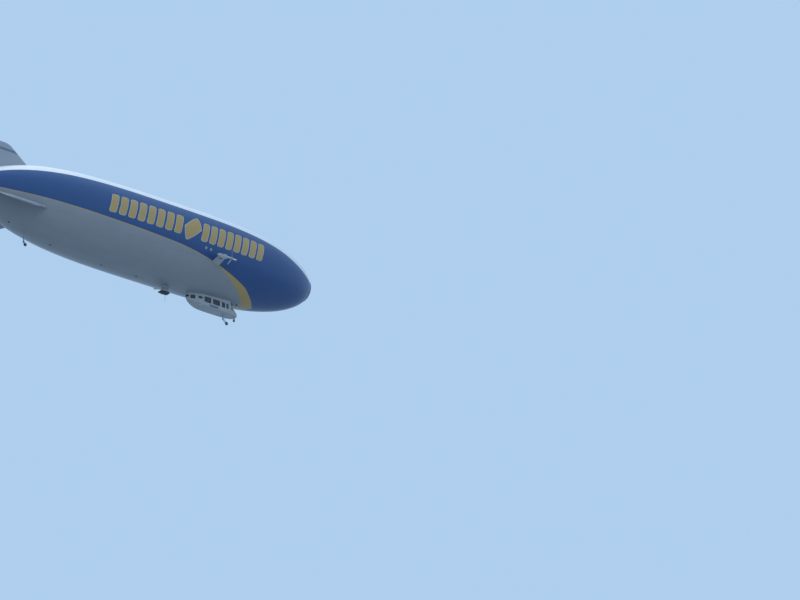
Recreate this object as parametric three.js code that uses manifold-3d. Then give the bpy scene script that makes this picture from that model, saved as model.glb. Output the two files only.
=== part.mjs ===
// Semi-rigid advertising airship, built as a half-size model.
// Frame: +X to the nose, +Y to port, +Z up, origin on the envelope's axis near its centre of lift.
// Sizes below are metres on the full-size airship; M turns them into millimetres of the model.
// A station is the distance behind the nose of the envelope.
import * as THREE from 'three';
import { mergeVertices } from 'three/addons/utils/BufferGeometryUtils.js';
import Module from 'manifold-3d';

const wasm = await Module();
wasm.setup();

const M = 500;
const ORIGIN_STATION = 33;

// Clearances in millimetres of the model
const SEAT_GAP = 0.35;
const RUNNING_GAP = 6;
// Sides of a round pivot and of the hole that it turns in
const PIVOT_SIDES = 24;

// Envelope
const HULL = {
  radius: 7.08,
  widestStation: 31.5,
  length: 72,
  nosePower: 3.2,
  noseRoot: 0.53,
  tailPower: 3.9,
  tailRoot: 0.9,
  skinMm: 10,
  sides: 36,
  stations: [0.25, 0.7, 1.5, 3, 5, 8, 12, 17, 23, 30, 38, 45, 51, 56, 60, 63.5, 66.8, 69.6],
};

// Nose cap and mooring spindle
const NOSE = { capThickness: 0.03, capEnd: 0.95, spindleTip: -0.5, spindleRadius: 0.09, collarRadius: 0.26 };

// Tail cone with the stern drive; columns: station, radius
const TAIL_CONE = [
  [69.0, 2.13],
  [69.6, 1.8],
  [70.5, 1.42],
  [71.6, 1.0],
  [72.4, 0.68],
  [72.9, 0.42],
];
const TAIL_HOLLOW = { front: 69.4, frontRadius: 1.62, rear: 72.0, rearRadius: 0.72 };
const STERN_CHEEK = { inner: 0.27, thickness: 0.08, end: 73.42, height: 0.3 };

// Fins, 120 degrees apart; radii are measured from the envelope's axis
const FIN = {
  angles: { top: 0, port: -120, starboard: 120 },
  // Rows from root to tip: radius, station of the leading edge, thickness
  rows: [
    [2.7, 54.6, 0.62],
    [8.35, 62.15, 0.3],
    [8.62, 62.75, 0.24],
    [8.74, 63.45, 0.12],
  ],
  rudderRoot: 1.5,
  rudderTip: 8.7,
  hinge: 66.85,
  rudderEnd: 69.25,
  hingeThickness: 0.24,
  lugRadii: [4.6, 7.7],
};

// Side drives: the nacelle's middle, the tilt axis and the propeller
const DRIVE = {
  y: 8.3,
  z: -3.05,
  pivot: 24.95,
  arm: 1.42,
  slotHalf: 0.27,
  barrelRadius: 0.24,
  noseRadius: 0.15,
  trunnionRadius: 0.07,
  shaftRadius: 0.045,
};
// Nacelle outline; columns: station, radius
const NACELLE = [
  [24.52, 0.0],
  [24.54, 0.26],
  [24.66, 0.38],
  [24.95, 0.45],
  [25.3, 0.47],
  [25.7, 0.44],
  [26.0, 0.38],
  [26.3, 0.24],
  [26.45, 0.1],
  [26.5, 0.0],
];
const ENGINE = { length: 0.5, width: 0.5, height: 0.34, clearance: 0.05 };
// The pylon's middle line and chord, inside the envelope and at the nacelle's middle
const PYLON = {
  thickness: 0.34,
  root: { lead: 24.0, trail: 25.9, y: 5.3, z: -3.68 },
  tip: { lead: 24.6, trail: 26.1, y: 8.3, z: -3.05 },
};

// Propeller blade; columns: part of the radius, chord, thickness, pitch in degrees
const BLADE = [
  [0.1, 0.12, 0.1, 50],
  [0.3, 0.25, 0.055, 38],
  [0.6, 0.24, 0.035, 26],
  [0.88, 0.17, 0.022, 19],
  [1.0, 0.07, 0.012, 17],
];
const PROPELLER = { radius: 1.35, hubRadius: 0.16, hubLength: 0.22, spinnerLength: 0.26, blades: 3 };
const STERN = { pivot: 73.2, arm: 1.1 };
const THRUSTER = { station: 71.6, radius: 1.1, discY: 1.86, tubeRadius: 0.19 };

// Gondola sections; columns: station, half width, bottom z, top z, lower and upper corner radius
const GONDOLA = [
  [15.62, 0.2, -8.76, -8.31, 0.07, 0.16],
  [15.7, 0.38, -8.85, -8.27, 0.13, 0.28],
  [15.93, 0.58, -8.93, -8.16, 0.2, 0.3],
  [16.3, 0.78, -8.977, -7.98, 0.26, 0.35],
  [16.78, 0.96, -8.996, -7.74, 0.32, 0.35],
  [17.2, 1.08, -9.0, -7.5, 0.36, 0.3],
  [17.5, 1.13, -9.0, -7.27, 0.37, 0.2],
  [17.6, 1.15, -9.0, -7.2, 0.38, 0.05],
  [21.5, 1.15, -9.0, -7.2, 0.38, 0.05],
  [22.6, 1.15, -8.96, -7.2, 0.38, 0.05],
  [23.5, 1.13, -8.87, -7.2, 0.38, 0.05],
  [24.2, 1.0, -8.74, -7.2, 0.36, 0.05],
  [24.8, 0.84, -8.6, -7.2, 0.32, 0.05],
  [25.3, 0.64, -8.43, -7.2, 0.28, 0.05],
  [25.7, 0.44, -8.25, -7.2, 0.22, 0.05],
  [26.05, 0.2, -8.05, -7.2, 0.14, 0.05],
];
const CABIN = {
  wall: 0.06,
  floorTop: -8.84,
  roofLine: -7.2,
  floorKnee: 22.9,
  floorTail: -8.52,
  noseSplit: 16.75,
  screenSplit: 17.55,
  tailSplit: 24.72,
  roofFront: 17.45,
  glass: 0.016,
};
// Lower edge of the windscreen; columns: station, z
const SCREEN_SILL = [
  [15, -8.75],
  [16.2, -8.47],
  [16.85, -8.16],
  [17.6, -8.13],
];
// Windows; columns: front station, rear station, bottom z, top z
const SIDE_WINDOWS = [
  [18.1, 18.52, -8.2, -7.4],
  [18.85, 19.5, -8.2, -7.36],
  [19.95, 21.35, -8.18, -7.32],
  [21.8, 23.15, -8.2, -7.32],
];
const PORT_EXTRA_WINDOW = [23.6, 24.5, -8.16, -7.32];
const TAIL_WINDOW = [24.88, 25.6, -8.04, -7.45];
const REAR_WINDOW = [25.84, 26.9, -7.8, -7.42];
const WINDOW_CORNER = 0.1;
const DOOR = { front: 23.5, rear: 24.5, bottom: -8.53, top: -7.32, window: [23.62, 24.3, -7.84, -7.46] };
const DOOR_HINGE = {
  station: 23.44,
  y: -1.19,
  skinY: -1.11,
  footStation: 23.6,
  heights: [-7.7, -8.3],
  pinRadius: 0.014,
  barrelRadius: 0.026,
};

// Seats: row of passenger seats on each side of the aisle
const SEAT = { pitch: 0.72, count: 6, first: 18.6, width: 0.46, y: 0.74, cushionTop: -8.4, backTop: -7.86 };
const PILOT = { station: 17.7, y: 0.45, width: 0.5 };
const CONSOLE = { front: 16.84, rear: 17.12, top: -8.14, halfWidth: 0.62 };

// Landing gear; columns of each leg: swivel station, top z, crown z, axle station, axle z
const GEAR = {
  front: [18.3, -8.99, -9.62, 17.54, -10.26],
  rear: [59.55, -5.0, -7.2, 59.2, -7.66],
};
const WHEEL = {
  sides: 20,
  radius: 0.28,
  halfWidth: 0.1,
  rimRadius: 0.15,
  axleRadius: 0.03,
  legRadius: 0.075,
  pinRadius: 0.04,
};

// Camera ball under the gondola's nose
const CAMERA = { station: 15.95, z: -9.42, ballRadius: 0.17, postRadius: 0.08, postEnd: -9.1 };

// Belly scoop: a neck under the envelope and a flat tray; columns: station, z
const SCOOP_NECK = [
  [29.95, -6.7],
  [30.05, -8.15],
  [31.15, -8.15],
  [31.3, -6.7],
];
const SCOOP_TRAY = [
  [29.85, -8.14],
  [31.3, -8.1],
  [31.9, -8.36],
  [31.9, -8.44],
  [31.5, -8.5],
  [30.0, -8.5],
  [29.85, -8.42],
];
const SCOOP = { neckHalf: 0.3, trayHalf: 0.42, underside: -8.5 };
const WHIP = { station: 30.57, end: -9.85, radius: 0.022, baseRadius: 0.09, baseEnd: -8.68 };

const COLOURS = {
  silver: [0xc9ced3, 0.45, 0.25],
  blue: [0x1f4fa0, 0.4, 0.1],
  white: [0xe6e8ea, 0.4, 0.05],
  grey: [0x8b9298, 0.5, 0.3],
  dark: [0x1c1e21, 0.55, 0.1],
  steel: [0x9fa4a8, 0.35, 0.8],
  rubber: [0x17181a, 0.85, 0],
  glass: [0x2a3a4a, 0.1, 0],
  cloth: [0x2c3e63, 0.9, 0],
  engine: [0x6a6e72, 0.6, 0.6],
};

const airship = new THREE.Group();

const xAt = (station) => (ORIGIN_STATION - station) * M;
const point = (station, y, z) => new THREE.Vector3(xAt(station), y * M, z * M);

// A round hole that a pin of this radius turns in, both drawn with the same number of sides
const boreFor = (pinRadius, sides) => (pinRadius * M + SEAT_GAP) / Math.cos(Math.PI / sides) / M;

// Radius of the envelope at a station, in metres of the full-size airship
function hullRadius(station) {
  if (station < HULL.widestStation) {
    const ahead = 1 - station / HULL.widestStation;
    return HULL.radius * (1 - ahead ** HULL.nosePower) ** HULL.noseRoot;
  }
  const behind = (station - HULL.widestStation) / (HULL.length - HULL.widestStation);
  return HULL.radius * (1 - behind ** HULL.tailPower) ** HULL.tailRoot;
}

// Merge shared corners, drop flat triangles and turn the faces outwards
function closed(geometry) {
  geometry.deleteAttribute('normal');
  geometry.deleteAttribute('uv');
  const merged = mergeVertices(geometry, 1e-3);
  const corners = merged.index.array;
  const kept = [];
  for (let i = 0; i < corners.length; i += 3) {
    const [a, b, c] = [corners[i], corners[i + 1], corners[i + 2]];
    if (a !== b && b !== c && c !== a) kept.push(a, b, c);
  }
  const at = (i) => new THREE.Vector3().fromBufferAttribute(merged.attributes.position, i);
  let volume = 0;
  for (let i = 0; i < kept.length; i += 3) {
    volume += at(kept[i]).dot(at(kept[i + 1]).cross(at(kept[i + 2])));
  }
  if (volume < 0) kept.reverse();
  merged.setIndex(kept);
  return merged;
}

function toSolid(geometry) {
  const shape = closed(geometry);
  const mesh = new wasm.Mesh({
    numProp: 3,
    vertProperties: Float32Array.from(shape.attributes.position.array),
    triVerts: Uint32Array.from(shape.index.array),
  });
  return new wasm.Manifold(mesh);
}

function toGeometry(solid) {
  const mesh = solid.getMesh();
  const geometry = new THREE.BufferGeometry();
  geometry.setAttribute('position', new THREE.BufferAttribute(Float32Array.from(mesh.vertProperties), 3));
  geometry.setIndex(Array.from(mesh.triVerts));
  return geometry;
}

const join = (first, ...others) => others.reduce((sum, other) => sum.add(other), first);
const cut = (first, ...others) => others.reduce((rest, other) => rest.subtract(other), first);

function addPart(name, solid, colour, parent = airship) {
  const geometry = toGeometry(solid);
  geometry.computeVertexNormals();
  const [hex, roughness, metalness] = COLOURS[colour];
  const material = new THREE.MeshStandardMaterial({ color: hex, roughness, metalness });
  if (colour === 'glass') Object.assign(material, { transparent: true, opacity: 0.5 });
  const mesh = new THREE.Mesh(geometry, material);
  mesh.name = name;
  parent.add(mesh);
  return mesh;
}

function placedGroup(position, turn = [0, 0, 0]) {
  const group = new THREE.Group();
  group.position.copy(position);
  group.rotation.set(...turn);
  airship.add(group);
  return group;
}

// Body of revolution about the X axis; rows of the outline are x and radius in millimetres
function latheX(outline, sides) {
  const points = outline.map(([x, radius]) => new THREE.Vector2(radius, x));
  return new THREE.LatheGeometry(points, sides).rotateZ(-Math.PI / 2);
}

// Cylinder or cone between two points, in millimetres
function rod(from, to, radiusFrom, radiusTo = radiusFrom, sides = 16) {
  const axis = new THREE.Vector3().subVectors(to, from);
  const geometry = new THREE.CylinderGeometry(radiusTo, radiusFrom, axis.length(), sides);
  const turn = new THREE.Quaternion();
  turn.setFromUnitVectors(new THREE.Vector3(0, 1, 0), axis.clone().normalize());
  geometry.applyQuaternion(turn);
  geometry.translate(...from.clone().add(to).multiplyScalar(0.5).toArray());
  return toSolid(geometry);
}

// Box from its lowest and highest corner, in millimetres
function box(low, high) {
  const size = high.map((value, i) => value - low[i]);
  const middle = high.map((value, i) => (value + low[i]) / 2);
  return toSolid(new THREE.BoxGeometry(...size).translate(...middle));
}

// Box between stations, in metres of the full-size airship, with its faces moved out by grow millimetres
function stationBox(front, rear, yLow, yHigh, zLow, zHigh, grow = 0) {
  const low = [xAt(rear) - grow, yLow * M - grow, zLow * M - grow];
  const high = [xAt(front) + grow, yHigh * M + grow, zHigh * M + grow];
  return box(low, high);
}

// Loft through rings that have the same number of corners
function loft(rings) {
  const count = rings[0].length;
  const positions = rings.flat().flatMap((corner) => corner.toArray());
  const index = [];
  for (let r = 0; r < rings.length - 1; r += 1) {
    for (let i = 0; i < count; i += 1) {
      const a = r * count + i;
      const b = r * count + ((i + 1) % count);
      index.push(a, b, a + count, b, b + count, a + count);
    }
  }
  const last = (rings.length - 1) * count;
  for (let i = 1; i < count - 1; i += 1) {
    index.push(0, i + 1, i);
    index.push(last, last + i, last + i + 1);
  }
  const geometry = new THREE.BufferGeometry();
  geometry.setAttribute('position', new THREE.Float32BufferAttribute(positions, 3));
  geometry.setIndex(index);
  return toSolid(geometry);
}

// Flat outline in the XZ plane, rows of station and z, made thick from yLow to yHigh
function sidePlate(outline, yLow, yHigh) {
  const shape = new THREE.Shape(outline.map(([station, z]) => new THREE.Vector2(xAt(station), z * M)));
  const geometry = new THREE.ExtrudeGeometry(shape, { depth: (yHigh - yLow) * M, bevelEnabled: false });
  geometry.rotateX(Math.PI / 2);
  geometry.translate(0, yHigh * M, 0);
  return toSolid(geometry);
}

const mirrored = (solid) => toSolid(toGeometry(solid).scale(1, -1, 1));

// The envelope's outside, grown by some millimetres, as a solid to cut others with
function hullCutter(grow) {
  const rows = HULL.stations.map((s) => [xAt(s), hullRadius(s) * M + grow]);
  const front = xAt(HULL.stations[0]) + grow;
  const rear = xAt(HULL.stations.at(-1)) - grow;
  rows[0][0] = front;
  rows.at(-1)[0] = rear;
  return toSolid(latheX([[front, 0], ...rows, [rear, 0]], HULL.sides));
}

const seatOnHull = hullCutter(SEAT_GAP);

function buildEnvelope() {
  const outer = HULL.stations.map((s) => [xAt(s), hullRadius(s) * M]);
  const inner = outer.map(([x, radius], i) => {
    const [before, after] = [outer[Math.max(i - 1, 0)], outer[Math.min(i + 1, outer.length - 1)]];
    const run = Math.hypot(after[0] - before[0], after[1] - before[1]);
    const along = ((after[1] - before[1]) / run) * HULL.skinMm;
    const inward = (Math.abs(after[0] - before[0]) / run) * HULL.skinMm;
    const moved = i === 0 || i === outer.length - 1 ? x : x - along;
    return [moved, radius - inward - (moved === x ? Math.abs(along) : 0)];
  });
  const outline = [...outer, ...inner.reverse(), outer[0]];
  addPart('envelope', toSolid(latheX(outline, HULL.sides)), 'silver');

  const capRows = [-0.06, 0.05, 0.35, NOSE.capEnd].map((s) => {
    const shown = Math.max(s + 0.06, 0);
    return [xAt(s), (hullRadius(shown) + NOSE.capThickness * Math.min(1, shown * 20)) * M];
  });
  const capEnd = xAt(NOSE.capEnd);
  const cap = toSolid(latheX([...capRows, [capEnd, 0]], HULL.sides));
  addPart('nose_cap', cut(cap, seatOnHull), 'blue');

  const capFace = xAt(-0.06) + SEAT_GAP;
  const { spindleTip, spindleRadius, collarRadius } = NOSE;
  const spindle = join(
    rod(new THREE.Vector3(capFace, 0, 0), point(-0.18, 0, 0), collarRadius * M, spindleRadius * 1.3 * M, 24),
    rod(point(-0.12, 0, 0), point(spindleTip, 0, 0), spindleRadius * M, spindleRadius * M, 24),
  );
  addPart('mooring_spindle', spindle, 'steel');
}

function buildTailCone() {
  const rows = TAIL_CONE.map(([s, radius]) => [xAt(s), radius * M]);
  const solid = toSolid(latheX([[rows[0][0], 0], ...rows, [rows.at(-1)[0], 0]], HULL.sides));
  const { front, frontRadius, rear, rearRadius } = TAIL_HOLLOW;
  const hollow = rod(point(front, 0, 0), point(rear, 0, 0), frontRadius * M, rearRadius * M, 12);
  const { inner, thickness, end, height } = STERN_CHEEK;
  const cheeks = [-1, 1].map((side) => {
    const [yLow, yHigh] = [side * inner, side * (inner + thickness)].sort((a, b) => a - b);
    const plate = stationBox(72.3, STERN.pivot, yLow, yHigh, -height * 0.8, height * 0.8);
    const boss = rod(point(STERN.pivot, yLow, 0), point(STERN.pivot, yHigh, 0), (end - STERN.pivot) * M);
    const { trunnionRadius } = DRIVE;
    const bore = boreFor(trunnionRadius, PIVOT_SIDES) * M;
    const [from, to] = [point(STERN.pivot, yLow - 0.02, 0), point(STERN.pivot, yHigh + 0.02, 0)];
    const hole = rod(from, to, bore, bore, PIVOT_SIDES);
    return cut(join(plate, boss), hole);
  });
  addPart('tail_cone', cut(join(solid, ...cheeks), hollow, seatOnHull), 'white');
}

// Fin section at a height above the axis: a rounded front and a flat back at the hinge
function finRing([radius, lead, thickness]) {
  const { hinge, hingeThickness } = FIN;
  const half = thickness / 2;
  const backHalf = Math.min(hingeThickness, thickness) / 2;
  const back = hinge - hingeThickness / 2 - RUNNING_GAP / M;
  const chord = back - lead;
  const rows = [
    [0, 0],
    [0.02, 0.4],
    [0.1, 0.8],
    [0.35, 1],
  ];
  const front = rows.map(([along, wide]) => [lead + along * chord, wide * half]);
  const upper = [...front, [back, backHalf]];
  const lower = upper.slice(1).map(([s, y]) => [s, -y]).reverse();
  return [...upper, ...lower].map(([s, y]) => point(s, y, radius));
}

function rudderRing(radius) {
  const { hinge, rudderEnd, hingeThickness } = FIN;
  const nose = [-90, -135, -180, -225, -270].map((degrees) => {
    const angle = THREE.MathUtils.degToRad(degrees);
    return [hinge + (Math.cos(angle) * hingeThickness) / 2, (Math.sin(angle) * hingeThickness) / 2];
  });
  const back = [
    [rudderEnd, 0.02],
    [rudderEnd, -0.02],
  ];
  return [...nose, ...back].map(([s, y]) => point(s, y, radius));
}

function buildFins() {
  const { rows, rudderRoot, rudderTip, hinge, hingeThickness, lugRadii } = FIN;
  const pinRadius = 0.03;
  const lugHalf = 0.05;
  const lugs = lugRadii.map((radius) => {
    const arm = stationBox(hinge - 0.35, hinge, -0.045, 0.045, radius - lugHalf, radius + lugHalf);
    const eye = rod(point(hinge, 0, radius - lugHalf), point(hinge, 0, radius + lugHalf), 0.06 * M);
    const pin = rod(point(hinge, 0, radius - 0.16), point(hinge, 0, radius + 0.16), pinRadius * M);
    return join(arm, eye, pin);
  });
  const notches = lugRadii.map((radius) => {
    const reach = lugHalf + RUNNING_GAP / M;
    const gap = stationBox(hinge - hingeThickness, hinge + 0.09, -0.2, 0.2, radius - reach, radius + reach);
    const bore = boreFor(pinRadius, 16) * M;
    return join(gap, rod(point(hinge, 0, radius - 0.18), point(hinge, 0, radius + 0.18), bore));
  });
  const fin = join(cut(loft(rows.map(finRing)), seatOnHull), ...lugs);
  const rudderBlock = loft([rudderRing(rudderRoot), rudderRing(rudderTip)]);
  const rudder = cut(rudderBlock, hullCutter(0.08 * M), ...notches);
  for (const [side, angle] of Object.entries(FIN.angles)) {
    const group = placedGroup(new THREE.Vector3(), [THREE.MathUtils.degToRad(angle), 0, 0]);
    addPart(`fin_${side}`, fin, 'silver', group);
    addPart(`rudder_${side}`, rudder, 'silver', group);
  }
}

// Propeller that turns about X with its hub's back face at x = 0
function propeller(radius) {
  const { hubRadius, hubLength, spinnerLength, blades } = PROPELLER;
  const hubEnd = new THREE.Vector3(hubLength * M, 0, 0);
  const hub = rod(new THREE.Vector3(), hubEnd, hubRadius * M, hubRadius * M, 12);
  const rows = [
    [hubLength, 1],
    [hubLength + spinnerLength * 0.4, 0.86],
    [hubLength + spinnerLength * 0.8, 0.5],
    [hubLength + spinnerLength, 0],
  ];
  const spinnerRows = rows.map(([x, part]) => [x * M, part * hubRadius * M]);
  const spinner = toSolid(latheX([[spinnerRows[0][0], 0], ...spinnerRows], 12));
  const rings = BLADE.map(([part, chord, thickness, pitch]) => {
    const turn = THREE.MathUtils.degToRad(pitch);
    const section = [
      [0.5, 0],
      [0.2, 0.5],
      [-0.25, 0.42],
      [-0.5, 0],
      [-0.25, -0.2],
      [0.2, -0.25],
    ];
    return section.map(([c, t]) => {
      const [across, deep] = [c * chord * M, t * thickness * M];
      const y = across * Math.cos(turn) - deep * Math.sin(turn);
      const x = across * Math.sin(turn) + deep * Math.cos(turn) + (hubLength / 2) * M;
      return new THREE.Vector3(x, y, part * radius * M);
    });
  });
  const blade = toGeometry(loft(rings));
  const step = (2 * Math.PI) / blades;
  const set = Array.from({ length: blades }, (_, i) => toSolid(blade.clone().rotateX(i * step)));
  const bore = boreFor(DRIVE.shaftRadius, 16) * M;
  const hole = rod(new THREE.Vector3(-1, 0, 0), new THREE.Vector3(0.14 * M, 0, 0), bore);
  return cut(join(hub, spinner, ...set), hole);
}

// Tilting head: a barrel across, a tapered nose and the propeller's shaft, pointing along +X
function tiltHead(arm, barrelHalf) {
  const { barrelRadius, noseRadius, trunnionRadius, shaftRadius } = DRIVE;
  const side = (y) => new THREE.Vector3(0, y * M, 0);
  const ahead = (x) => new THREE.Vector3(x * M, 0, 0);
  const half = barrelHalf - RUNNING_GAP / M;
  const barrel = rod(side(-half), side(half), barrelRadius * M, barrelRadius * M);
  const pinEnd = barrelHalf + 0.07;
  const pins = rod(side(-pinEnd), side(pinEnd), trunnionRadius * M, trunnionRadius * M, PIVOT_SIDES);
  const nose = rod(ahead(0), ahead(arm), (barrelRadius - 0.03) * M, noseRadius * M);
  const shaft = rod(ahead(arm - 0.1), ahead(arm + 0.12), shaftRadius * M);
  return join(barrel, pins, nose, shaft);
}

function engineBlock() {
  const { length, width, height } = ENGINE;
  return toSolid(new THREE.BoxGeometry(length * M, width * M, height * M));
}

function buildSideDrives() {
  const { y, z, pivot, arm, slotHalf, barrelRadius, trunnionRadius } = DRIVE;
  const rows = NACELLE.map(([s, radius]) => [xAt(s), radius * M]);
  const body = toSolid(latheX(rows, 24).translate(0, -y * M, z * M));
  const grownRows = rows.map(([x, radius]) => [x, radius === 0 ? 0 : radius + SEAT_GAP]);
  const grown = toSolid(latheX(grownRows, 24).translate(0, -y * M, z * M));

  const slotFront = NACELLE[0][0] - 0.2;
  const slotBack = pivot + barrelRadius + 0.03;
  const slotFloor = z - 0.29;
  const slotTop = z + 0.7;
  const slot = sidePlate(
    [
      [slotFront, slotFloor],
      [slotBack, slotFloor],
      [slotBack, z],
      [pivot + 0.78, slotTop],
      [slotFront, slotTop],
    ],
    -y - slotHalf,
    -y + slotHalf,
  );
  const bore = boreFor(trunnionRadius, PIVOT_SIDES) * M;
  const boreEnd = slotHalf + 0.1;
  const hole = rod(point(pivot, -y - boreEnd, z), point(pivot, -y + boreEnd, z), bore, bore, PIVOT_SIDES);
  const engineFront = slotBack + 0.12;
  const { length, width, height, clearance } = ENGINE;
  const bayFloor = z - height / 2;
  const bay = stationBox(
    engineFront - clearance,
    engineFront + length + clearance,
    -y - width / 2 - clearance,
    -y + width / 2 + clearance,
    bayFloor,
    z + height / 2 + clearance,
  );
  const duct = stationBox(slotBack - 0.1, engineFront, -y - 0.1, -y + 0.1, z - 0.1, z + 0.1);
  const nacelle = cut(body, slot, hole, bay, duct);

  const section = [
    [0, 0],
    [0.06, 0.34],
    [0.3, 0.5],
    [0.7, 0.34],
    [1, 0.04],
    [1, -0.04],
    [0.7, -0.34],
    [0.3, -0.5],
    [0.06, -0.34],
  ];
  const ring = ({ lead, trail, y: out, z: height }) =>
    section.map(([along, wide]) =>
      point(lead + along * (trail - lead), -out, height + wide * PYLON.thickness),
    );
  const pylon = cut(loft([ring(PYLON.root), ring(PYLON.tip)]), seatOnHull, grown);

  const head = tiltHead(arm, slotHalf);
  const screw = propeller(PROPELLER.radius);
  for (const [side, sign] of [['starboard', -1], ['port', 1]]) {
    const handed = (solid) => (sign < 0 ? solid : mirrored(solid));
    addPart(`pylon_${side}`, handed(pylon), 'white');
    addPart(`nacelle_${side}`, handed(nacelle), 'white');
    const bayMiddle = point(engineFront + length / 2, sign * y, z);
    bayMiddle.z += SEAT_GAP;
    addPart(`engine_${side}`, engineBlock(), 'engine', placedGroup(bayMiddle));
    addPart(`tilt_head_${side}`, head, 'grey', placedGroup(point(pivot, sign * y, z)));
    const hubBack = point(pivot - arm, sign * y, z).add(new THREE.Vector3(RUNNING_GAP, 0, 0));
    addPart(`propeller_${side}`, screw, 'white', placedGroup(hubBack));
  }
}

function buildSternDrive() {
  const { rear } = TAIL_HOLLOW;
  const engineRear = xAt(rear) + SEAT_GAP + (ENGINE.length / 2) * M;
  addPart('engine_stern', engineBlock(), 'engine', placedGroup(new THREE.Vector3(engineRear, 0, 0)));
  const aft = [0, 0, Math.PI];
  const head = tiltHead(STERN.arm, STERN_CHEEK.inner);
  addPart('tilt_head_stern', head, 'grey', placedGroup(point(STERN.pivot, 0, 0), aft));
  const hubBack = point(STERN.pivot + STERN.arm, 0, 0).add(new THREE.Vector3(-RUNNING_GAP, 0, 0));
  addPart('propeller_stern', propeller(PROPELLER.radius), 'white', placedGroup(hubBack, aft));

  const { station, radius, discY, tubeRadius } = THRUSTER;
  const coneRows = TAIL_CONE.map(([s, r]) => [xAt(s), r * M + SEAT_GAP]);
  const cone = toSolid(latheX([[coneRows[0][0], 0], ...coneRows, [coneRows.at(-1)[0], 0]], HULL.sides));
  const hubY = discY - PROPELLER.hubLength / 2;
  const tube = rod(point(station, 0.5, 0), point(station, hubY, 0), (tubeRadius + 0.08) * M, tubeRadius * M);
  const shaft = rod(point(station, hubY - 0.1, 0), point(station, hubY + 0.12, 0), DRIVE.shaftRadius * M);
  addPart('thruster_mount', join(cut(tube, cone), shaft), 'white');
  const hub = point(station, hubY, 0).add(new THREE.Vector3(0, RUNNING_GAP, 0));
  addPart('propeller_thruster', propeller(radius), 'white', placedGroup(hub, [0, 0, Math.PI / 2]));
}

// Rounded section of the gondola, taken in by some metres and with its top open above the roof line
function gondolaRing([station, halfWidth, bottom, top, corner, topCorner], inset, open) {
  const half = halfWidth - inset;
  const low = bottom + inset;
  const high = open && top >= CABIN.roofLine ? top + 0.2 : top - inset;
  const round = Math.max(corner - inset, 0.04);
  const above = Math.max(Math.min(topCorner - inset, half * 0.8), 0.04);
  const corners = [
    [half - round, low + round, round, -90],
    [half - above, high - above, above, 0],
    [-half + above, high - above, above, 90],
    [-half + round, low + round, round, 180],
  ];
  const steps = [0, 30, 60, 90];
  return corners.flatMap(([y, z, r, start]) =>
    steps.map((step) => {
      const angle = THREE.MathUtils.degToRad(start + step);
      return point(station, y + r * Math.cos(angle), z + r * Math.sin(angle));
    }),
  );
}

function gondolaLoft(inset, open = false) {
  const last = GONDOLA.length - 1;
  const rings = GONDOLA.map((row, i) => {
    const shift = i === 0 ? inset : i === last ? -inset : 0;
    return gondolaRing([row[0] + shift, ...row.slice(1)], inset, open);
  });
  return loft(rings);
}

// Rounded window opening through a side wall
function windowCutter([front, rear, bottom, top], yLow, yHigh) {
  const r = WINDOW_CORNER * M;
  const [left, right, low, high] = [xAt(rear), xAt(front), bottom * M, top * M];
  const shape = new THREE.Shape();
  shape.moveTo(left + r, low);
  shape.lineTo(right - r, low);
  shape.absarc(right - r, low + r, r, -Math.PI / 2, 0);
  shape.absarc(right - r, high - r, r, 0, Math.PI / 2);
  shape.absarc(left + r, high - r, r, Math.PI / 2, Math.PI);
  shape.absarc(left + r, low + r, r, Math.PI, 1.5 * Math.PI);
  const depth = (yHigh - yLow) * M;
  const geometry = new THREE.ExtrudeGeometry(shape, { depth, bevelEnabled: false, curveSegments: 3 });
  geometry.rotateX(Math.PI / 2);
  geometry.translate(0, yHigh * M, 0);
  return toSolid(geometry);
}

function doorHinges() {
  const { station, y, skinY, footStation, heights, pinRadius, barrelRadius } = DOOR_HINGE;
  const wallSide = heights.map((z) =>
    join(
      stationBox(station - 0.04, station + 0.03, y - 0.02, skinY + 0.02, z - 0.05, z),
      rod(point(station, y, z - 0.03), point(station, y, z + 0.07), pinRadius * M),
    ),
  );
  const doorSide = heights.map((z) => {
    const low = z + 0.002;
    const high = z + 0.062;
    const barrel = rod(point(station, y, low), point(station, y, high), barrelRadius * M);
    const arm = stationBox(station, footStation, y - 0.012, y + 0.014, low, high);
    const foot = stationBox(footStation - 0.07, footStation, y - 0.012, skinY + 0.02, low, high);
    const bore = boreFor(pinRadius, 16) * M;
    const hole = rod(point(station, y, z - 0.02), point(station, y, z + 0.09), bore);
    return cut(join(barrel, arm, foot), hole);
  });
  return { wallSide, doorSide };
}

// The zone above the windscreen's lower edge, which its rear edge and a lowered sill bound
function screenZone(rear, lowered) {
  const sill = SCREEN_SILL.map(([station, z]) => [Math.min(station, rear), z - lowered]);
  return sidePlate([...sill, [rear, -6], [SCREEN_SILL[0][0], -6]], -3, 3);
}

// Height of the cabin's floor, which rises behind its knee
function floorHeight(station) {
  const { floorTop, floorKnee, floorTail, tailSplit } = CABIN;
  const slope = (floorTail - floorTop) / (tailSplit - floorKnee);
  return floorTop + slope * Math.max(station - floorKnee, 0);
}

// The zone between stations that lies above or below the floor, up to a limit
function floorZone(stations, lift, limit) {
  const top = stations.map((station) => [station, floorHeight(station) + lift]);
  return sidePlate([...top, [stations.at(-1), limit], [stations[0], limit]], -3, 3);
}

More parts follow.
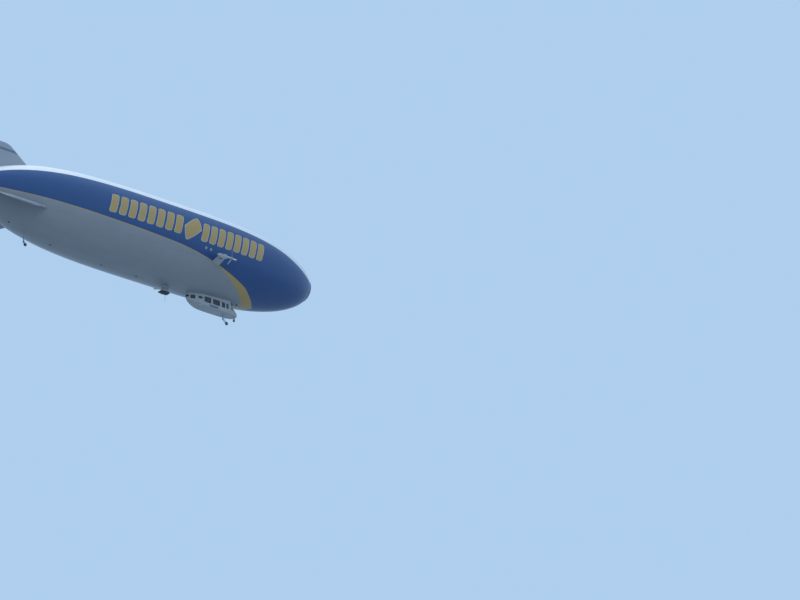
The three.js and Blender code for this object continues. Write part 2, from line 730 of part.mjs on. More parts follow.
function buildGondola() {
  const { wall, roofLine, floorKnee, noseSplit, screenSplit, tailSplit, roofFront, glass } = CABIN;
  const gap = SEAT_GAP / M;
  const sillGap = gap * 1.3;
  const outer = gondolaLoft(0);
  const shell = cut(outer, gondolaLoft(wall, true));
  const far = 3;
  const slab = (front, rear, zLow, zHigh, yLow = -far, yHigh = far) =>
    stationBox(front, rear, yLow, yHigh, zLow, zHigh);

  const floor = outer.intersect(floorZone([noseSplit + gap, floorKnee], 0, -10));
  addPart('gondola_floor', floor, 'white');

  const roofRows = GONDOLA.filter(([s]) => s >= screenSplit);
  const roofRings = [[roofFront, 1.1], ...roofRows].map(([s, half]) => {
    const z = [roofLine + gap, -6];
    const ring = [[half, z[0]], [half, z[1]], [-half, z[1]], [-half, z[0]]];
    return ring.map(([y, height]) => point(s, y, height));
  });
  addPart('gondola_roof', cut(loft(roofRings), seatOnHull), 'white');

  addPart('windscreen', shell.intersect(screenZone(screenSplit, 0)), 'glass');
  const noseShell = shell.intersect(slab(15, noseSplit, -10, -6));
  addPart('gondola_nose', cut(noseShell, screenZone(screenSplit + gap, sillGap)), 'white');

  const aroundScreen = screenZone(screenSplit + gap, sillGap);
  const aboveFloor = floorZone([noseSplit + gap, floorKnee, tailSplit - gap], sillGap, -6);
  const walls = cut(shell.intersect(aboveFloor), aroundScreen);
  const starboardWindows = SIDE_WINDOWS.map((row) => windowCutter(row, -1.3, -0.7));
  const portWindows = [...SIDE_WINDOWS, PORT_EXTRA_WINDOW].map((row) => windowCutter(row, 0.7, 1.3));
  const portWall = walls.intersect(slab(15, 28, -10, -6, 0, far));
  addPart('gondola_wall_port', cut(portWall, ...portWindows), 'white');

  const { front, rear, bottom, top } = DOOR;
  const doorway = slab(front, rear, bottom, top, -far, 0);
  const starboardWall = walls.intersect(slab(15, 28, -10, -6, -far, 0));
  const { wallSide, doorSide } = doorHinges();
  const pierced = cut(starboardWall, doorway, ...starboardWindows);
  addPart('gondola_wall_starboard', join(pierced, ...wallSide), 'white');

  const run = RUNNING_GAP / M;
  const doorZone = slab(front + run, rear - run, bottom + run, top - run, -far, 0);
  const doorPane = windowCutter(DOOR.window, -1.3, -0.7);
  const door = join(cut(shell.intersect(doorZone), doorPane), ...doorSide);
  addPart('door', door, 'white');

  const pane = cut(gondolaLoft(wall + gap, true), gondolaLoft(wall + gap + glass, true));
  const paneTop = roofLine - 0.04;
  const band = (from, to, yLow, yHigh) => pane.intersect(slab(from, to, -8.3, paneTop, yLow, yHigh));
  addPart('glazing_starboard', band(17.75, 23.3, -far, 0), 'glass');
  addPart('glazing_port', band(17.75, 24.65, 0, far), 'glass');
  addPart('glazing_rear', pane.intersect(slab(24.78, 27, -8.12, roofLine - 0.12)), 'glass');
  addPart('door_window', pane.intersect(slab(23.56, 24.36, -7.92, -7.38, -far, 0)), 'glass');

  const ramp = outer.intersect(floorZone([floorKnee + gap, tailSplit + wall], 0, -10));
  const tail = join(shell.intersect(slab(tailSplit + gap, 28, -10, -6)), ramp);
  const tailWindows = [windowCutter(TAIL_WINDOW, -1.3, -0.3), windowCutter(TAIL_WINDOW, 0.3, 1.3)];
  addPart('gondola_tail', cut(tail, ...tailWindows, windowCutter(REAR_WINDOW, -2, 2)), 'white');
  return outer;
}

// Seat seen from the side, its front at a station
function seatOutline(station) {
  const { cushionTop, backTop } = SEAT;
  return [
    [station, cushionTop],
    [station + 0.02, cushionTop - 0.12],
    [station + 0.16, cushionTop - 0.12],
    [station + 0.18, CABIN.floorTop + 0.07],
    [station + 0.36, CABIN.floorTop + 0.07],
    [station + 0.36, cushionTop - 0.12],
    [station + 0.5, cushionTop - 0.1],
    [station + 0.6, backTop],
    [station + 0.5, backTop],
    [station + 0.41, cushionTop],
  ];
}

function seatRow(firstStation, count, pitch, y, width) {
  const seats = Array.from({ length: count }, (_, i) => seatOutline(firstStation + i * pitch));
  const solids = seats.map((outline) => sidePlate(outline, y - width / 2, y + width / 2));
  const end = firstStation + (count - 1) * pitch + 0.6;
  const base = CABIN.floorTop + SEAT_GAP / M;
  const rail = stationBox(firstStation + 0.05, end, y - width / 3, y + width / 3, base, base + 0.08);
  return join(rail, ...solids);
}

function buildCabinFittings() {
  const { pitch, count, first, width, y } = SEAT;
  addPart('seats_starboard', seatRow(first, count, pitch, -y, width), 'cloth');
  addPart('seats_port', seatRow(first, count, pitch, y, width), 'cloth');
  const pilots = [-PILOT.y, PILOT.y].map((side) => seatRow(PILOT.station, 1, 1, side, PILOT.width));
  const base = CABIN.floorTop + SEAT_GAP / M;
  const tie = stationBox(PILOT.station + 0.1, PILOT.station + 0.3, -PILOT.y, PILOT.y, base, base + 0.05);
  addPart('pilot_seats', join(...pilots, tie), 'cloth');
  const { front, rear, top, halfWidth } = CONSOLE;
  const outline = [
    [front, base],
    [rear, base],
    [rear, top - 0.14],
    [front + 0.1, top],
    [front, top],
  ];
  addPart('console', sidePlate(outline, -halfWidth, halfWidth), 'dark');
}

// Body of revolution about Y, for wheels; rows of the outline are y and radius in metres
function latheY(outline, sides) {
  const points = outline.map(([y, radius]) => new THREE.Vector2(radius * M, y * M));
  return toSolid(new THREE.LatheGeometry(points, sides));
}

function wheelParts() {
  const { sides, radius, halfWidth, rimRadius, axleRadius } = WHEEL;
  const shoulder = radius - 0.04;
  const tyre = latheY(
    [
      [-halfWidth * 0.75, rimRadius],
      [-halfWidth, rimRadius + 0.04],
      [-halfWidth, shoulder - 0.02],
      [-halfWidth * 0.6, radius],
      [halfWidth * 0.6, radius],
      [halfWidth, shoulder - 0.02],
      [halfWidth, rimRadius + 0.04],
      [halfWidth * 0.75, rimRadius],
      [-halfWidth * 0.75, rimRadius],
    ],
    sides,
  );
  const bore = boreFor(axleRadius, sides);
  const rim = rimRadius - SEAT_GAP / M;
  const hub = latheY(
    [
      [-0.08, bore],
      [-0.05, bore + 0.05],
      [-0.04, rim - 0.03],
      [-0.07, rim],
      [0.07, rim],
      [0.04, rim - 0.03],
      [0.05, bore + 0.05],
      [0.08, bore],
      [-0.08, bore],
    ],
    sides,
  );
  return { tyre, hub };
}

function buildGear(place, cutter) {
  const [station, top, crown, axleStation, axleZ] = GEAR[place];
  const { sides, halfWidth, axleRadius, legRadius, pinRadius } = WHEEL;
  const run = RUNNING_GAP / M;
  const leg = rod(point(station, 0, top + 0.3), point(station, 0, crown + 0.06), legRadius * M);
  const pin = rod(point(station, 0, crown + 0.1), point(station, 0, crown - 0.06), pinRadius * M);
  const brace = rod(point(station + 0.42, 0, top + 0.3), point(station + 0.02, 0, crown + 0.22), 0.03 * M);
  addPart(`${place}_leg`, join(cut(join(leg, brace), cutter), pin), 'steel');

  const armInner = halfWidth + 0.02;
  const armOuter = armInner + 0.035;
  const crownTop = crown + 0.06 - run;
  const arms = [-1, 1].map((side) => {
    const [yLow, yHigh] = [side * armInner, side * armOuter].sort((a, b) => a - b);
    const outline = [
      [station + 0.08, crown - 0.02],
      [station - 0.08, crown - 0.02],
      [axleStation - 0.06, axleZ - 0.05],
      [axleStation + 0.06, axleZ - 0.05],
    ];
    return sidePlate(outline, yLow, yHigh);
  });
  const bridge = stationBox(station - 0.08, station + 0.08, -armOuter, armOuter, crown - 0.06, crownTop);
  const axle = rod(
    point(axleStation, -armInner - 0.01, axleZ),
    point(axleStation, armInner + 0.01, axleZ),
    axleRadius * M,
    axleRadius * M,
    sides,
  );
  const bore = boreFor(pinRadius, 16) * M;
  const hole = rod(point(station, 0, crown + 0.2), point(station, 0, crown - 0.1), bore);
  addPart(`${place}_fork`, join(cut(join(bridge, ...arms), hole), axle), 'steel');

  const { tyre, hub } = wheelParts();
  const group = placedGroup(point(axleStation, 0, axleZ));
  addPart(`${place}_hub`, hub, 'steel', group);
  addPart(`${place}_tyre`, tyre, 'rubber', group);
}

function buildCamera(gondolaOuter) {
  const { station, z, ballRadius, postRadius, postEnd } = CAMERA;
  const run = RUNNING_GAP / M;
  const post = rod(point(station, 0, -8.4), point(station, 0, postEnd), postRadius * M);
  const lifted = gondolaOuter.translate([0, 0, -SEAT_GAP]);
  const pin = rod(point(station, 0, postEnd + 0.02), point(station, 0, postEnd - 0.05), 0.03 * M);
  addPart('camera_post', join(cut(post, gondolaOuter, lifted), pin), 'grey');

  const armInner = ballRadius + run;
  const armOuter = armInner + 0.04;
  const plateTop = postEnd - run;
  const plateLow = z + ballRadius + run;
  const plate = stationBox(station - 0.1, station + 0.1, -armOuter, armOuter, plateLow, plateTop);
  const arms = [-1, 1].map((side) => {
    const [yLow, yHigh] = [side * armInner, side * armOuter].sort((a, b) => a - b);
    return stationBox(station - 0.05, station + 0.05, yLow, yHigh, z - 0.05, plateLow + 0.01);
  });
  const postHole = boreFor(0.03, 16) * M;
  const hole = rod(point(station, 0, postEnd + 0.02), point(station, 0, plateLow - 0.02), postHole);
  const pinHole = boreFor(0.025, 16) * M;
  const axleHole = rod(point(station, -armOuter - 0.02, z), point(station, armOuter + 0.02, z), pinHole);
  addPart('camera_yoke', cut(join(plate, ...arms), hole, axleHole), 'grey');

  const ball = toSolid(new THREE.SphereGeometry(ballRadius * M, 16, 9));
  const axle = rod(
    new THREE.Vector3(0, -armOuter * M, 0),
    new THREE.Vector3(0, armOuter * M, 0),
    0.025 * M,
  );
  addPart('camera_ball', join(ball, axle), 'dark', placedGroup(point(station, 0, z)));
}

function buildBellyFittings() {
  const { neckHalf, trayHalf, underside } = SCOOP;
  const neck = sidePlate(SCOOP_NECK, -neckHalf, neckHalf);
  const tray = sidePlate(SCOOP_TRAY, -trayHalf, trayHalf);
  addPart('belly_scoop', cut(join(neck, tray), seatOnHull), 'silver');

  const { station, end, radius, baseRadius, baseEnd } = WHIP;
  const top = point(station, 0, underside + 0.1);
  const base = rod(top, point(station, 0, baseEnd), baseRadius * M, baseRadius * 0.6 * M, 12);
  const whip = rod(top, point(station, 0, end), radius * M, radius * 0.6 * M, 12);
  const above = stationBox(station - 1, station + 1, -1, 1, underside, underside + 0.5, SEAT_GAP);
  addPart('whip_antenna', cut(join(base, whip), above), 'dark');
}

buildEnvelope();
buildTailCone();
buildFins();
buildSideDrives();
buildSternDrive();
const gondolaOuter = buildGondola();
buildCabinFittings();
const floorUnder = stationBox(16.8, 21.5, -2, 2, -9, -8, SEAT_GAP);
buildGear('front', floorUnder);
buildGear('rear', seatOnHull);
buildCamera(gondolaOuter);
buildBellyFittings();

export default airship;
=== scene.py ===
"""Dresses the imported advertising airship: hull, fins, drives, cabin, gear and the studio round it.

Stations, sides and heights are metres on the full-size airship, and the model is half that size.
A station is the distance behind the nose of the envelope.
"""

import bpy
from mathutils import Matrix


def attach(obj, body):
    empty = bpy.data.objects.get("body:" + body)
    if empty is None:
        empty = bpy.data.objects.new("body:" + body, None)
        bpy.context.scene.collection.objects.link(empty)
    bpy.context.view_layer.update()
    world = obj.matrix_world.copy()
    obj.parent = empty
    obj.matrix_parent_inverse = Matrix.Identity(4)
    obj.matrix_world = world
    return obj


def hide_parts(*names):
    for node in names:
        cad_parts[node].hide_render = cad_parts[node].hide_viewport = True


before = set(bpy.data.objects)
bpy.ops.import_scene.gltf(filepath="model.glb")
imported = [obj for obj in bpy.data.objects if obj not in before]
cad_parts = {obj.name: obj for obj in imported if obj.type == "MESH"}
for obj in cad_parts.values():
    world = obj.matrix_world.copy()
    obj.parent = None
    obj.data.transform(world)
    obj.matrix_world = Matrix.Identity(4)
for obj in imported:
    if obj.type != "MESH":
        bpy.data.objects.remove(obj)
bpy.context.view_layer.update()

import logging
import math
from collections.abc import Callable, Sequence
from dataclasses import dataclass, field
from enum import Enum

import bmesh
import bpy
from mathutils import Matrix, Vector

SCALE = 0.5
ORIGIN_STATION = 33.0
LOG = logging.getLogger("airship")
FORWARD, PORT, UP = Vector((1, 0, 0)), Vector((0, 1, 0)), Vector((0, 0, 1))
HERE = Vector()
SIGNS = (-1, 1)
MERGE, SPECK = 1e-5, 1e-6
CHAMFER = 0.2
BEVEL_ANGLE, BEVEL_STEPS = 40, 2
NOISE_ROUGHNESS = 0.55
NO_BAYS = 900.0

Colour = tuple[float, float, float]
Row = tuple[float, ...]
Pair = tuple[float, float]
Pairs = tuple[Pair, ...]
Face = tuple[int, ...]
Rings = Sequence[Sequence[Vector]]
Height = Callable[[float, float], float]


class Side(Enum):
    """The two sides of the airship, as the sign of y."""

    STARBOARD = -1
    PORT = 1

    @property
    def word(self) -> str:
        """Return the side's name in lower case."""
        return self.name.lower()


# ---- places


def at(station: float, y: float = 0.0, z: float = 0.0) -> Vector:
    """Turn a full-size place into the model's frame."""
    return Vector(((ORIGIN_STATION - station) * SCALE, y * SCALE, z * SCALE))


@dataclass(frozen=True)
class Curve:
    """A smooth line through rows of place and value, straight beyond its ends."""

    rows: Pairs

    def _slope(self, i: int) -> float:
        """Return the slope at row i, from the rows beside it."""
        before, after = self.rows[max(i - 1, 0)], self.rows[min(i + 1, len(self.rows) - 1)]
        return (after[1] - before[1]) / (after[0] - before[0])

    def __call__(self, place: float) -> float:
        """Find the line's value.

        Args:
            place: Where it is wanted.

        Returns:
            The value there.
        """
        rows, last = self.rows, len(self.rows) - 1
        for i, beyond in ((0, place <= rows[0][0]), (last, place >= rows[last][0])):
            if beyond:
                return rows[i][1] + self._slope(i) * (place - rows[i][0])
        i = next(k for k in range(last) if place <= rows[k + 1][0])
        span, rise = rows[i + 1][0] - rows[i][0], rows[i + 1][1] - rows[i][1]
        t = (place - rows[i][0]) / span
        start, end = self._slope(i) * span, self._slope(i + 1) * span
        return rows[i][1] + start * t + (3 * rise - 2 * start - end) * t**2 + (start + end - 2 * rise) * t**3


def spread(low: float, high: float, count: int) -> list[float]:
    """Return count + 1 evenly spaced numbers from low to high."""
    return [low + (high - low) * i / count for i in range(count + 1)]


def arc(first: float, last: float, count: int) -> list[Pair]:
    """Return the cosine and sine of count + 1 evenly spaced angles in degrees."""
    return [(math.cos(a), math.sin(a)) for a in map(math.radians, spread(first, last, count))]


def circle(sides: int) -> list[Pair]:
    """Return the cosine and sine of angles all the way round."""
    return arc(0, 360, sides)[:-1]


def both_sides(rows: Sequence[Row], share: float = -1.0) -> list[Row]:
    """Return rows of place and height, then back along the other side at a share of each height."""
    return [*rows, *((a, b * share) for a, b in reversed(rows[1:-1]))]


def mirrored(rows: Sequence[Row]) -> list[Row]:
    """Return rows of place and radius after the same rows at the opposite places."""
    return [*((-a, r) for a, r in reversed(rows)), *rows]


# ---- meshes


@dataclass
class Shape:
    """A growing mesh: its corners, its faces and the number of each face's finish."""

    points: list[Vector] = field(default_factory=list)
    faces: list[Face] = field(default_factory=list)
    tints: list[int] = field(default_factory=list)

    def add(self, points: Sequence[Vector], faces: Sequence[Sequence[int]], tint: int = 0) -> "Shape":
        """Add corners and the faces between them, all with one finish."""
        return self.join(Shape(list(points), [tuple(f) for f in faces], [tint] * len(faces)))

    def skin(self, rings: Rings, tint: int = 0, closed: bool = True, capped: bool = False) -> "Shape":
        """Join rings that have the same number of corners.

        Args:
            rings: The rings, in order.
            tint: The number of the faces' finish.
            closed: Whether each ring runs round to its start.
            capped: Whether the first and last ring get a face each.

        Returns:
            This shape.
        """
        count, last = len(rings[0]), (len(rings) - 1) * len(rings[0])
        faces = [
            (row + i, row + (i + 1) % count, row + (i + 1) % count + count, row + i + count)
            for row in range(0, last, count)
            for i in range(count if closed else count - 1)
        ]
        if capped:
            faces += [tuple(range(count)), tuple(range(last, last + count))]
        return self.add([p for ring in rings for p in ring], faces, tint)

    def join(self, other: "Shape", place: Matrix | None = None, tint: int | None = None) -> "Shape":
        """Add a copy of another shape.

        Args:
            other: The shape to copy.
            place: Where the copy goes.
            tint: A finish number for the whole copy, or None to keep its own.

        Returns:
            This shape.
        """
        first = len(self.points)
        self.points.extend(place @ p if place else p.copy() for p in other.points)
        self.faces.extend(tuple(first + i for i in face) for face in other.faces)
        self.tints.extend(other.tints if tint is None else [tint] * len(other.faces))
        return self

    def moved(self, place: Matrix) -> "Shape":
        """Return a copy at another place."""
        return Shape().join(self, place)

    def mesh(self, name: str) -> bpy.types.Mesh:
        """Make a Blender mesh with merged corners and faces that look outwards.

        Args:
            name: The mesh's name.

        Returns:
            The mesh.
        """
        shell = bmesh.new()
        corners = [shell.verts.new(p) for p in self.points]
        for face, tint in zip(self.faces, self.tints, strict=True):
            made = shell.faces.new([corners[i] for i in face])
            made.material_index, made.smooth = tint, True
        bmesh.ops.remove_doubles(shell, verts=shell.verts, dist=MERGE)
        bmesh.ops.dissolve_degenerate(shell, edges=shell.edges, dist=SPECK)
        bmesh.ops.recalc_face_normals(shell, faces=shell.faces)
        mesh = bpy.data.meshes.new(name)
        shell.to_mesh(mesh)
        shell.free()
        return mesh


def lathe(
    rows: Sequence[Row],
    start: Vector,
    direction: Vector,
    sides: int = 32,
    tint: int = 0,
    capped: bool = True,
    scale: float = 1.0,
) -> Shape:
    """Turn an outline round a line.

    Args:
        rows: Rows of distance along the line and radius.
        start: The line's start.
        direction: The line's direction.
        sides: Corners in each ring.
        tint: The number of the faces' finish.
        capped: Whether the ends are closed.
        scale: Model metres for each unit of the rows.

    Returns:
        The turned shape.
    """
    axis = direction.normalized()
    across = axis.orthogonal().normalized()
    other = axis.cross(across)
    turns = [across * c + other * s for c, s in circle(sides)]
    rings = [[start + axis * (a * scale) + turn * max(r * scale, SPECK) for turn in turns] for a, r in rows]
    return Shape().skin(rings, tint, capped=capped)


def rod(start: Vector, end: Vector, radius: float, sides: int = 20) -> Shape:
    """Make a round rod with small chamfers at its ends.

    Args:
        start: The rod's start.
        end: The rod's end.
        radius: Its radius in model metres.
        sides: Corners in each ring.

    Returns:
        The rod.
    """
    length = (end - start).length
    edge = min(radius, length) * CHAMFER
    rows = [(0, radius - edge), (edge, radius), (length - edge, radius), (length, radius - edge)]
    return lathe(rows, start, end - start, sides)


def tube(path: Sequence[Vector], radius: float, sides: int = 8, closed: bool = False) -> Shape:
    """Sweep a circle along a path.

    Args:
        path: Places along the path.
        radius: The circle's radius in model metres.
        sides: Corners in each ring.
        closed: Whether the path runs round to its start.

    Returns:
        The swept shape.
    """
    count, rings, across = len(path), [], None
    for i, here in enumerate(path):
        before = path[i - 1] if closed or i else here
        after = path[(i + 1) % count] if closed or i < count - 1 else here
        axis = (after - before).normalized()
        across = axis.orthogonal() if across is None else across - axis * across.dot(axis)
        across = across.normalized()
        other = axis.cross(across)
        rings.append([here + (across * c + other * s) * radius for c, s in circle(sides)])
    if closed:
        rings.append(rings[0])
    return Shape().skin(rings, capped=not closed)


def block(one: Vector, other: Vector, round_off: float, steps: int = 2) -> Shape:
    """Make a box with rounded edges.

    Args:
        one: One of its corners.
        other: The opposite corner.
        round_off: The radius of its edges.
        steps: Faces across each rounded edge.

    Returns:
        The box.
    """
    solid = bmesh.new()
    bmesh.ops.create_cube(solid, size=1.0)
    size, middle = [abs(a - b) for a, b in zip(one, other, strict=True)], (one + other) / 2
    for corner in solid.verts:
        corner.co = Vector(c * s for c, s in zip(corner.co, size, strict=True)) + middle
    offset = min(round_off, min(size) * 0.45)
    bmesh.ops.bevel(solid, geom=list(solid.edges), offset=offset, segments=steps, affect="EDGES", profile=0.5)
    solid.verts.ensure_lookup_table()
    made = Shape().add([v.co for v in solid.verts], [[v.index for v in f.verts] for f in solid.faces])
    solid.free()
    return made


def prism(outline: Sequence[Vector], depth: Vector) -> Shape:
    """Make a flat outline thick, drawn out by depth."""
    return Shape().skin([outline, [p + depth for p in outline]], capped=True)


def cut(shape: Shape, tools: Sequence[Shape], operation: str = "DIFFERENCE") -> Shape:
    """Cut a closed shape with others.

    Args:
        shape: The closed shape that is cut.
        tools: The closed shapes to cut with, one after another.
        operation: DIFFERENCE or INTERSECT.

    Returns:
        What is left.
    """
    made = [bpy.data.objects.new(f"cut_{i}", s.mesh(f"cut_{i}")) for i, s in enumerate([shape, *tools])]
    for each in made:
        bpy.context.scene.collection.objects.link(each)
    for tool in made[1:]:
        step = made[0].modifiers.new(tool.name, "BOOLEAN")
        step.object, step.operation, step.solver = tool, operation, "EXACT"
    result = bpy.data.meshes.new_from_object(made[0].evaluated_get(bpy.context.evaluated_depsgraph_get()))
    left = Shape().add([v.co for v in result.vertices], [f.vertices for f in result.polygons])
    for mesh in [*(each.data for each in made), result]:
        bpy.data.meshes.remove(mesh)
    return left


# ---- shading


def _maths(operation: str, swapped: bool = False) -> Callable[..., "Link"]:
    """Return an operator of Link.

    Args:
        operation: The Math node's operation.
        swapped: Whether the link is the second value.

    Returns:
        The operator.
    """

    def operator(link: "Link", *others: "Link | float") -> "Link":
        """Add a Math node on the link and the other value."""
        return link.graph.math(operation, *((*others, link) if swapped else (link, *others)))

    return operator


@dataclass(frozen=True)
class Link:
    """A node's output, whose arithmetic adds Math nodes."""

    graph: "Graph"
    socket: bpy.types.NodeSocket

    __add__, __radd__ = _maths("ADD"), _maths("ADD", swapped=True)
    __sub__, __rsub__ = _maths("SUBTRACT"), _maths("SUBTRACT", swapped=True)
    __mul__, __rmul__ = _maths("MULTIPLY"), _maths("MULTIPLY", swapped=True)
    __pow__, __abs__ = _maths("POWER"), _maths("ABSOLUTE")


class Graph:
    """The nodes of one material."""

    def __init__(self, name: str) -> None:
        """Start an empty material.

        Args:
            name: The material's name.
        """
        self.material = bpy.data.materials.new(name)
        self.material.use_nodes = True
        self.tree = self.material.node_tree
        self.tree.nodes.clear()

    def node(
        self, kind: str, settings: dict | None = None, inputs: dict | None = None, output: int | str = 0
    ) -> Link:
        """Add a node.

        Args:
            kind: The node's type, without its first word.
            settings: Its settings.
            inputs: Values or links of its sockets.
            output: The output that is wanted.

        Returns:
            The output as a link.
        """
        made = self.tree.nodes.new(f"ShaderNode{kind}")
        for name, value in (settings or {}).items():
            setattr(made, name, value)
        for key, value in (inputs or {}).items():
            socket = made.inputs[key]
            if isinstance(value, Link):
                self.tree.links.new(value.socket, socket)
            else:
                socket.default_value = (*value, 1) if socket.type == "RGBA" else value
        return Link(self, made.outputs[output])

    def math(self, operation: str, *values: Link | float) -> Link:
        """Add a Math node on values or links."""
        return self.node("Math", {"operation": operation}, dict(enumerate(values)))

    def place(self, *stretch: float) -> Link:
        """Add the place on the object, in metres.

        Args:
            stretch: Three numbers that scale it along the axes, or none.

        Returns:
            The place.
        """
        place = self.node("TexCoord", output="Object")
        if stretch:
            return self.node("VectorMath", {"operation": "MULTIPLY"}, {0: place, 1: stretch})
        return place

    def noise(self, place: Link, scale: float, detail: float) -> Link:
        """Return a smooth noise from 0 to 1 at a scale per metre."""
        sizes = {"Vector": place, "Scale": scale, "Detail": detail, "Roughness": NOISE_ROUGHNESS}
        return self.node("TexNoise", inputs=sizes)

    def step(self, value: Link, low: float, high: float) -> Link:
        """Return a smooth step from 0 at low to 1 at high."""
        sizes = {"Value": value, "From Min": low, "From Max": high}
        return self.node("MapRange", {"interpolation_type": "SMOOTHSTEP"}, sizes)

    def blend(self, share: Link, first: Link | Colour, second: Colour) -> Link:
        """Return a colour between two."""
        return self.node("Mix", {"data_type": "RGBA"}, {0: share, 6: first, 7: second}, output=2)

    def bump(self, height: Link, distance: float, strength: float) -> Link:
        """Return a normal from a height."""
        return self.node("Bump", inputs={"Height": height, "Distance": distance, "Strength": strength})

    def finish(self, **sockets: Link | float | Colour) -> bpy.types.Material:
        """Close the material with one shader, whose sockets are named with _ for each space."""
        inputs = {name.replace("_", " "): value for name, value in sockets.items()}
        return self.show(self.node("BsdfPrincipled", inputs=inputs))

    def show(self, shader: Link) -> bpy.types.Material:
        """Show a shader on the surface.

        Args:
            shader: The shader's output.

        Returns:
            The material.
        """
        end = self.tree.nodes.new("ShaderNodeOutputMaterial")
        self.tree.links.new(shader.socket, end.inputs["Surface"])
        return self.material


@dataclass(frozen=True)
class Finish:
    """What a surface is made of."""

    name: str
    colour: Colour
    roughness: float = 0.5

    def material(self) -> bpy.types.Material:
        """Return the finish's material, made once."""
        return bpy.data.materials.get(self.name) or self.build(Graph(self.name))

    def shade(self, share: float) -> Colour:
        """Return the colour made lighter or darker by a share."""
        return tuple(min(channel * share, 1.0) for channel in self.colour)

    def build(self, graph: Graph) -> bpy.types.Material:
        """Make the material from the graph's nodes."""
        raise NotImplementedError


@dataclass(frozen=True)
class HullFabric(Finish):
    """Laminated envelope cloth, welded from gores and bays, with toned panels and soft stains."""

    coat: float = 0.25
    bay: float = 1.5
    gores: int = 24
    seam: float = 0.012

    def build(self, graph: Graph) -> bpy.types.Material:
        """Make the cloth.

        Args:
            graph: The empty graph.

        Returns:
            The material.
        """
        place = graph.place()
        x, y, z = (graph.node("SeparateXYZ", inputs={0: place}, output=letter) for letter in "XYZ")
        turn = graph.math("ARCTAN2", y, z) * (self.gores / (2 * math.pi))
        bays = x * (1 / self.bay)
        off_gore, off_bay = (0.5 - abs(graph.math("FRACT", part) - 0.5) for part in (turn, bays))
        from_gore = off_gore * (y * y + z * z) ** 0.5 * (2 * math.pi / self.gores)
        nearest = graph.math("MINIMUM", from_gore, off_bay * self.bay)
        seams = 1 - graph.step(nearest, self.seam * 0.6, self.seam * 1.6)
        cell = graph.node("CombineXYZ", inputs={0: graph.math("FLOOR", turn), 1: graph.math("FLOOR", bays)})
        panel = graph.node("TexWhiteNoise", {"noise_dimensions": "2D"}, {"Vector": cell})
        cloud, drips = graph.noise(place, 0.5, 4), graph.noise(graph.place(1.6, 1.6, 0.35), 1.2, 5)
        tone = panel * 0.3 + cloud * 0.5 + drips * 0.4 - 0.1
        body = graph.blend(tone, self.shade(0.93), self.shade(1.06))
        return graph.finish(
            Base_Color=graph.blend(seams * 0.35, body, self.shade(0.72)),
            Roughness=self.roughness + (cloud - 0.5) * 0.12 + seams * 0.08,
            Normal=graph.bump(seams * 0.5 + graph.noise(place, 2.2, 2) * 0.8, 0.004, 0.5),
            Coat_Weight=self.coat,
            Coat_Roughness=0.22,
        )


@dataclass(frozen=True)
class Paint(Finish):
    """Sprayed paint over a moulded shell, with road dust and a faint ripple."""

    coat: float = 0.4
    dirt: float = 0.16

    def build(self, graph: Graph) -> bpy.types.Material:
        """Make the paint.

        Args:
            graph: The empty graph.

        Returns:
            The material.
        """
        place = graph.place()
        cloud, streak = graph.noise(place, 1.4, 5), graph.noise(graph.place(0.5, 1.5, 4.0), 2.5, 4)
        dust = graph.step(cloud * 0.6 + streak * 0.4, 0.42, 0.72) * self.dirt
        ripple = graph.noise(place, 18, 2)
        return graph.finish(
            Base_Color=graph.blend(dust, self.colour, self.shade(0.6)),
            Roughness=self.roughness + dust * 0.9 + (ripple - 0.5) * 0.05,
            Normal=graph.bump(ripple, 0.0012, 0.35),
            Coat_Weight=self.coat,
            Coat_Roughness=0.12,
        )


@dataclass(frozen=True)
class Metal(Finish):
    """Bare or plated metal with brushed marks and dull spots."""

    metallic: float = 0.9

    def build(self, graph: Graph) -> bpy.types.Material:
        """Make the metal.

        Args:
            graph: The empty graph.

        Returns:
            The material.
        """
        brush, stain = graph.noise(graph.place(6, 40, 40), 3, 4), graph.noise(graph.place(), 5, 4)
        return graph.finish(
            Base_Color=graph.blend(graph.step(stain, 0.45, 0.75) * 0.5, self.colour, self.shade(0.62)),
            Metallic=self.metallic,
            Roughness=self.roughness + (brush - 0.5) * 0.16 + stain * 0.08,
            Normal=graph.bump(brush, 0.0008, 0.3),
        )


@dataclass(frozen=True)
class Rubber(Finish):
    """Tyre or seal rubber with dust in its grain."""

    def build(self, graph: Graph) -> bpy.types.Material:
        """Make the rubber.

        Args:
            graph: The empty graph.

        Returns:
            The material.
        """
        place = graph.place()
        dust = graph.step(graph.noise(place, 9, 4), 0.45, 0.7)
        return graph.finish(
            Base_Color=graph.blend(dust * 0.5, self.colour, self.shade(2.6)),
            Roughness=self.roughness + dust * 0.1,
            Normal=graph.bump(graph.noise(place, 60, 3), 0.001, 0.4),
        )


@dataclass(frozen=True)
class Pane(Finish):
    """Tinted window glass with faint smears."""

    clearness: float = 0.35

    def build(self, graph: Graph) -> bpy.types.Material:
        """Make the glass.

        Args:
            graph: The empty graph.

        Returns:
            The material.
        """
        smear = graph.noise(graph.place(1, 1, 3), 3, 4)
        return graph.finish(
            Base_Color=self.colour,
            Roughness=self.roughness + graph.step(smear, 0.5, 0.8) * 0.08,
            Alpha=1 - self.clearness,
            IOR=1.5,
            Coat_Weight=0.6,
            Coat_Roughness=0.04,
        )


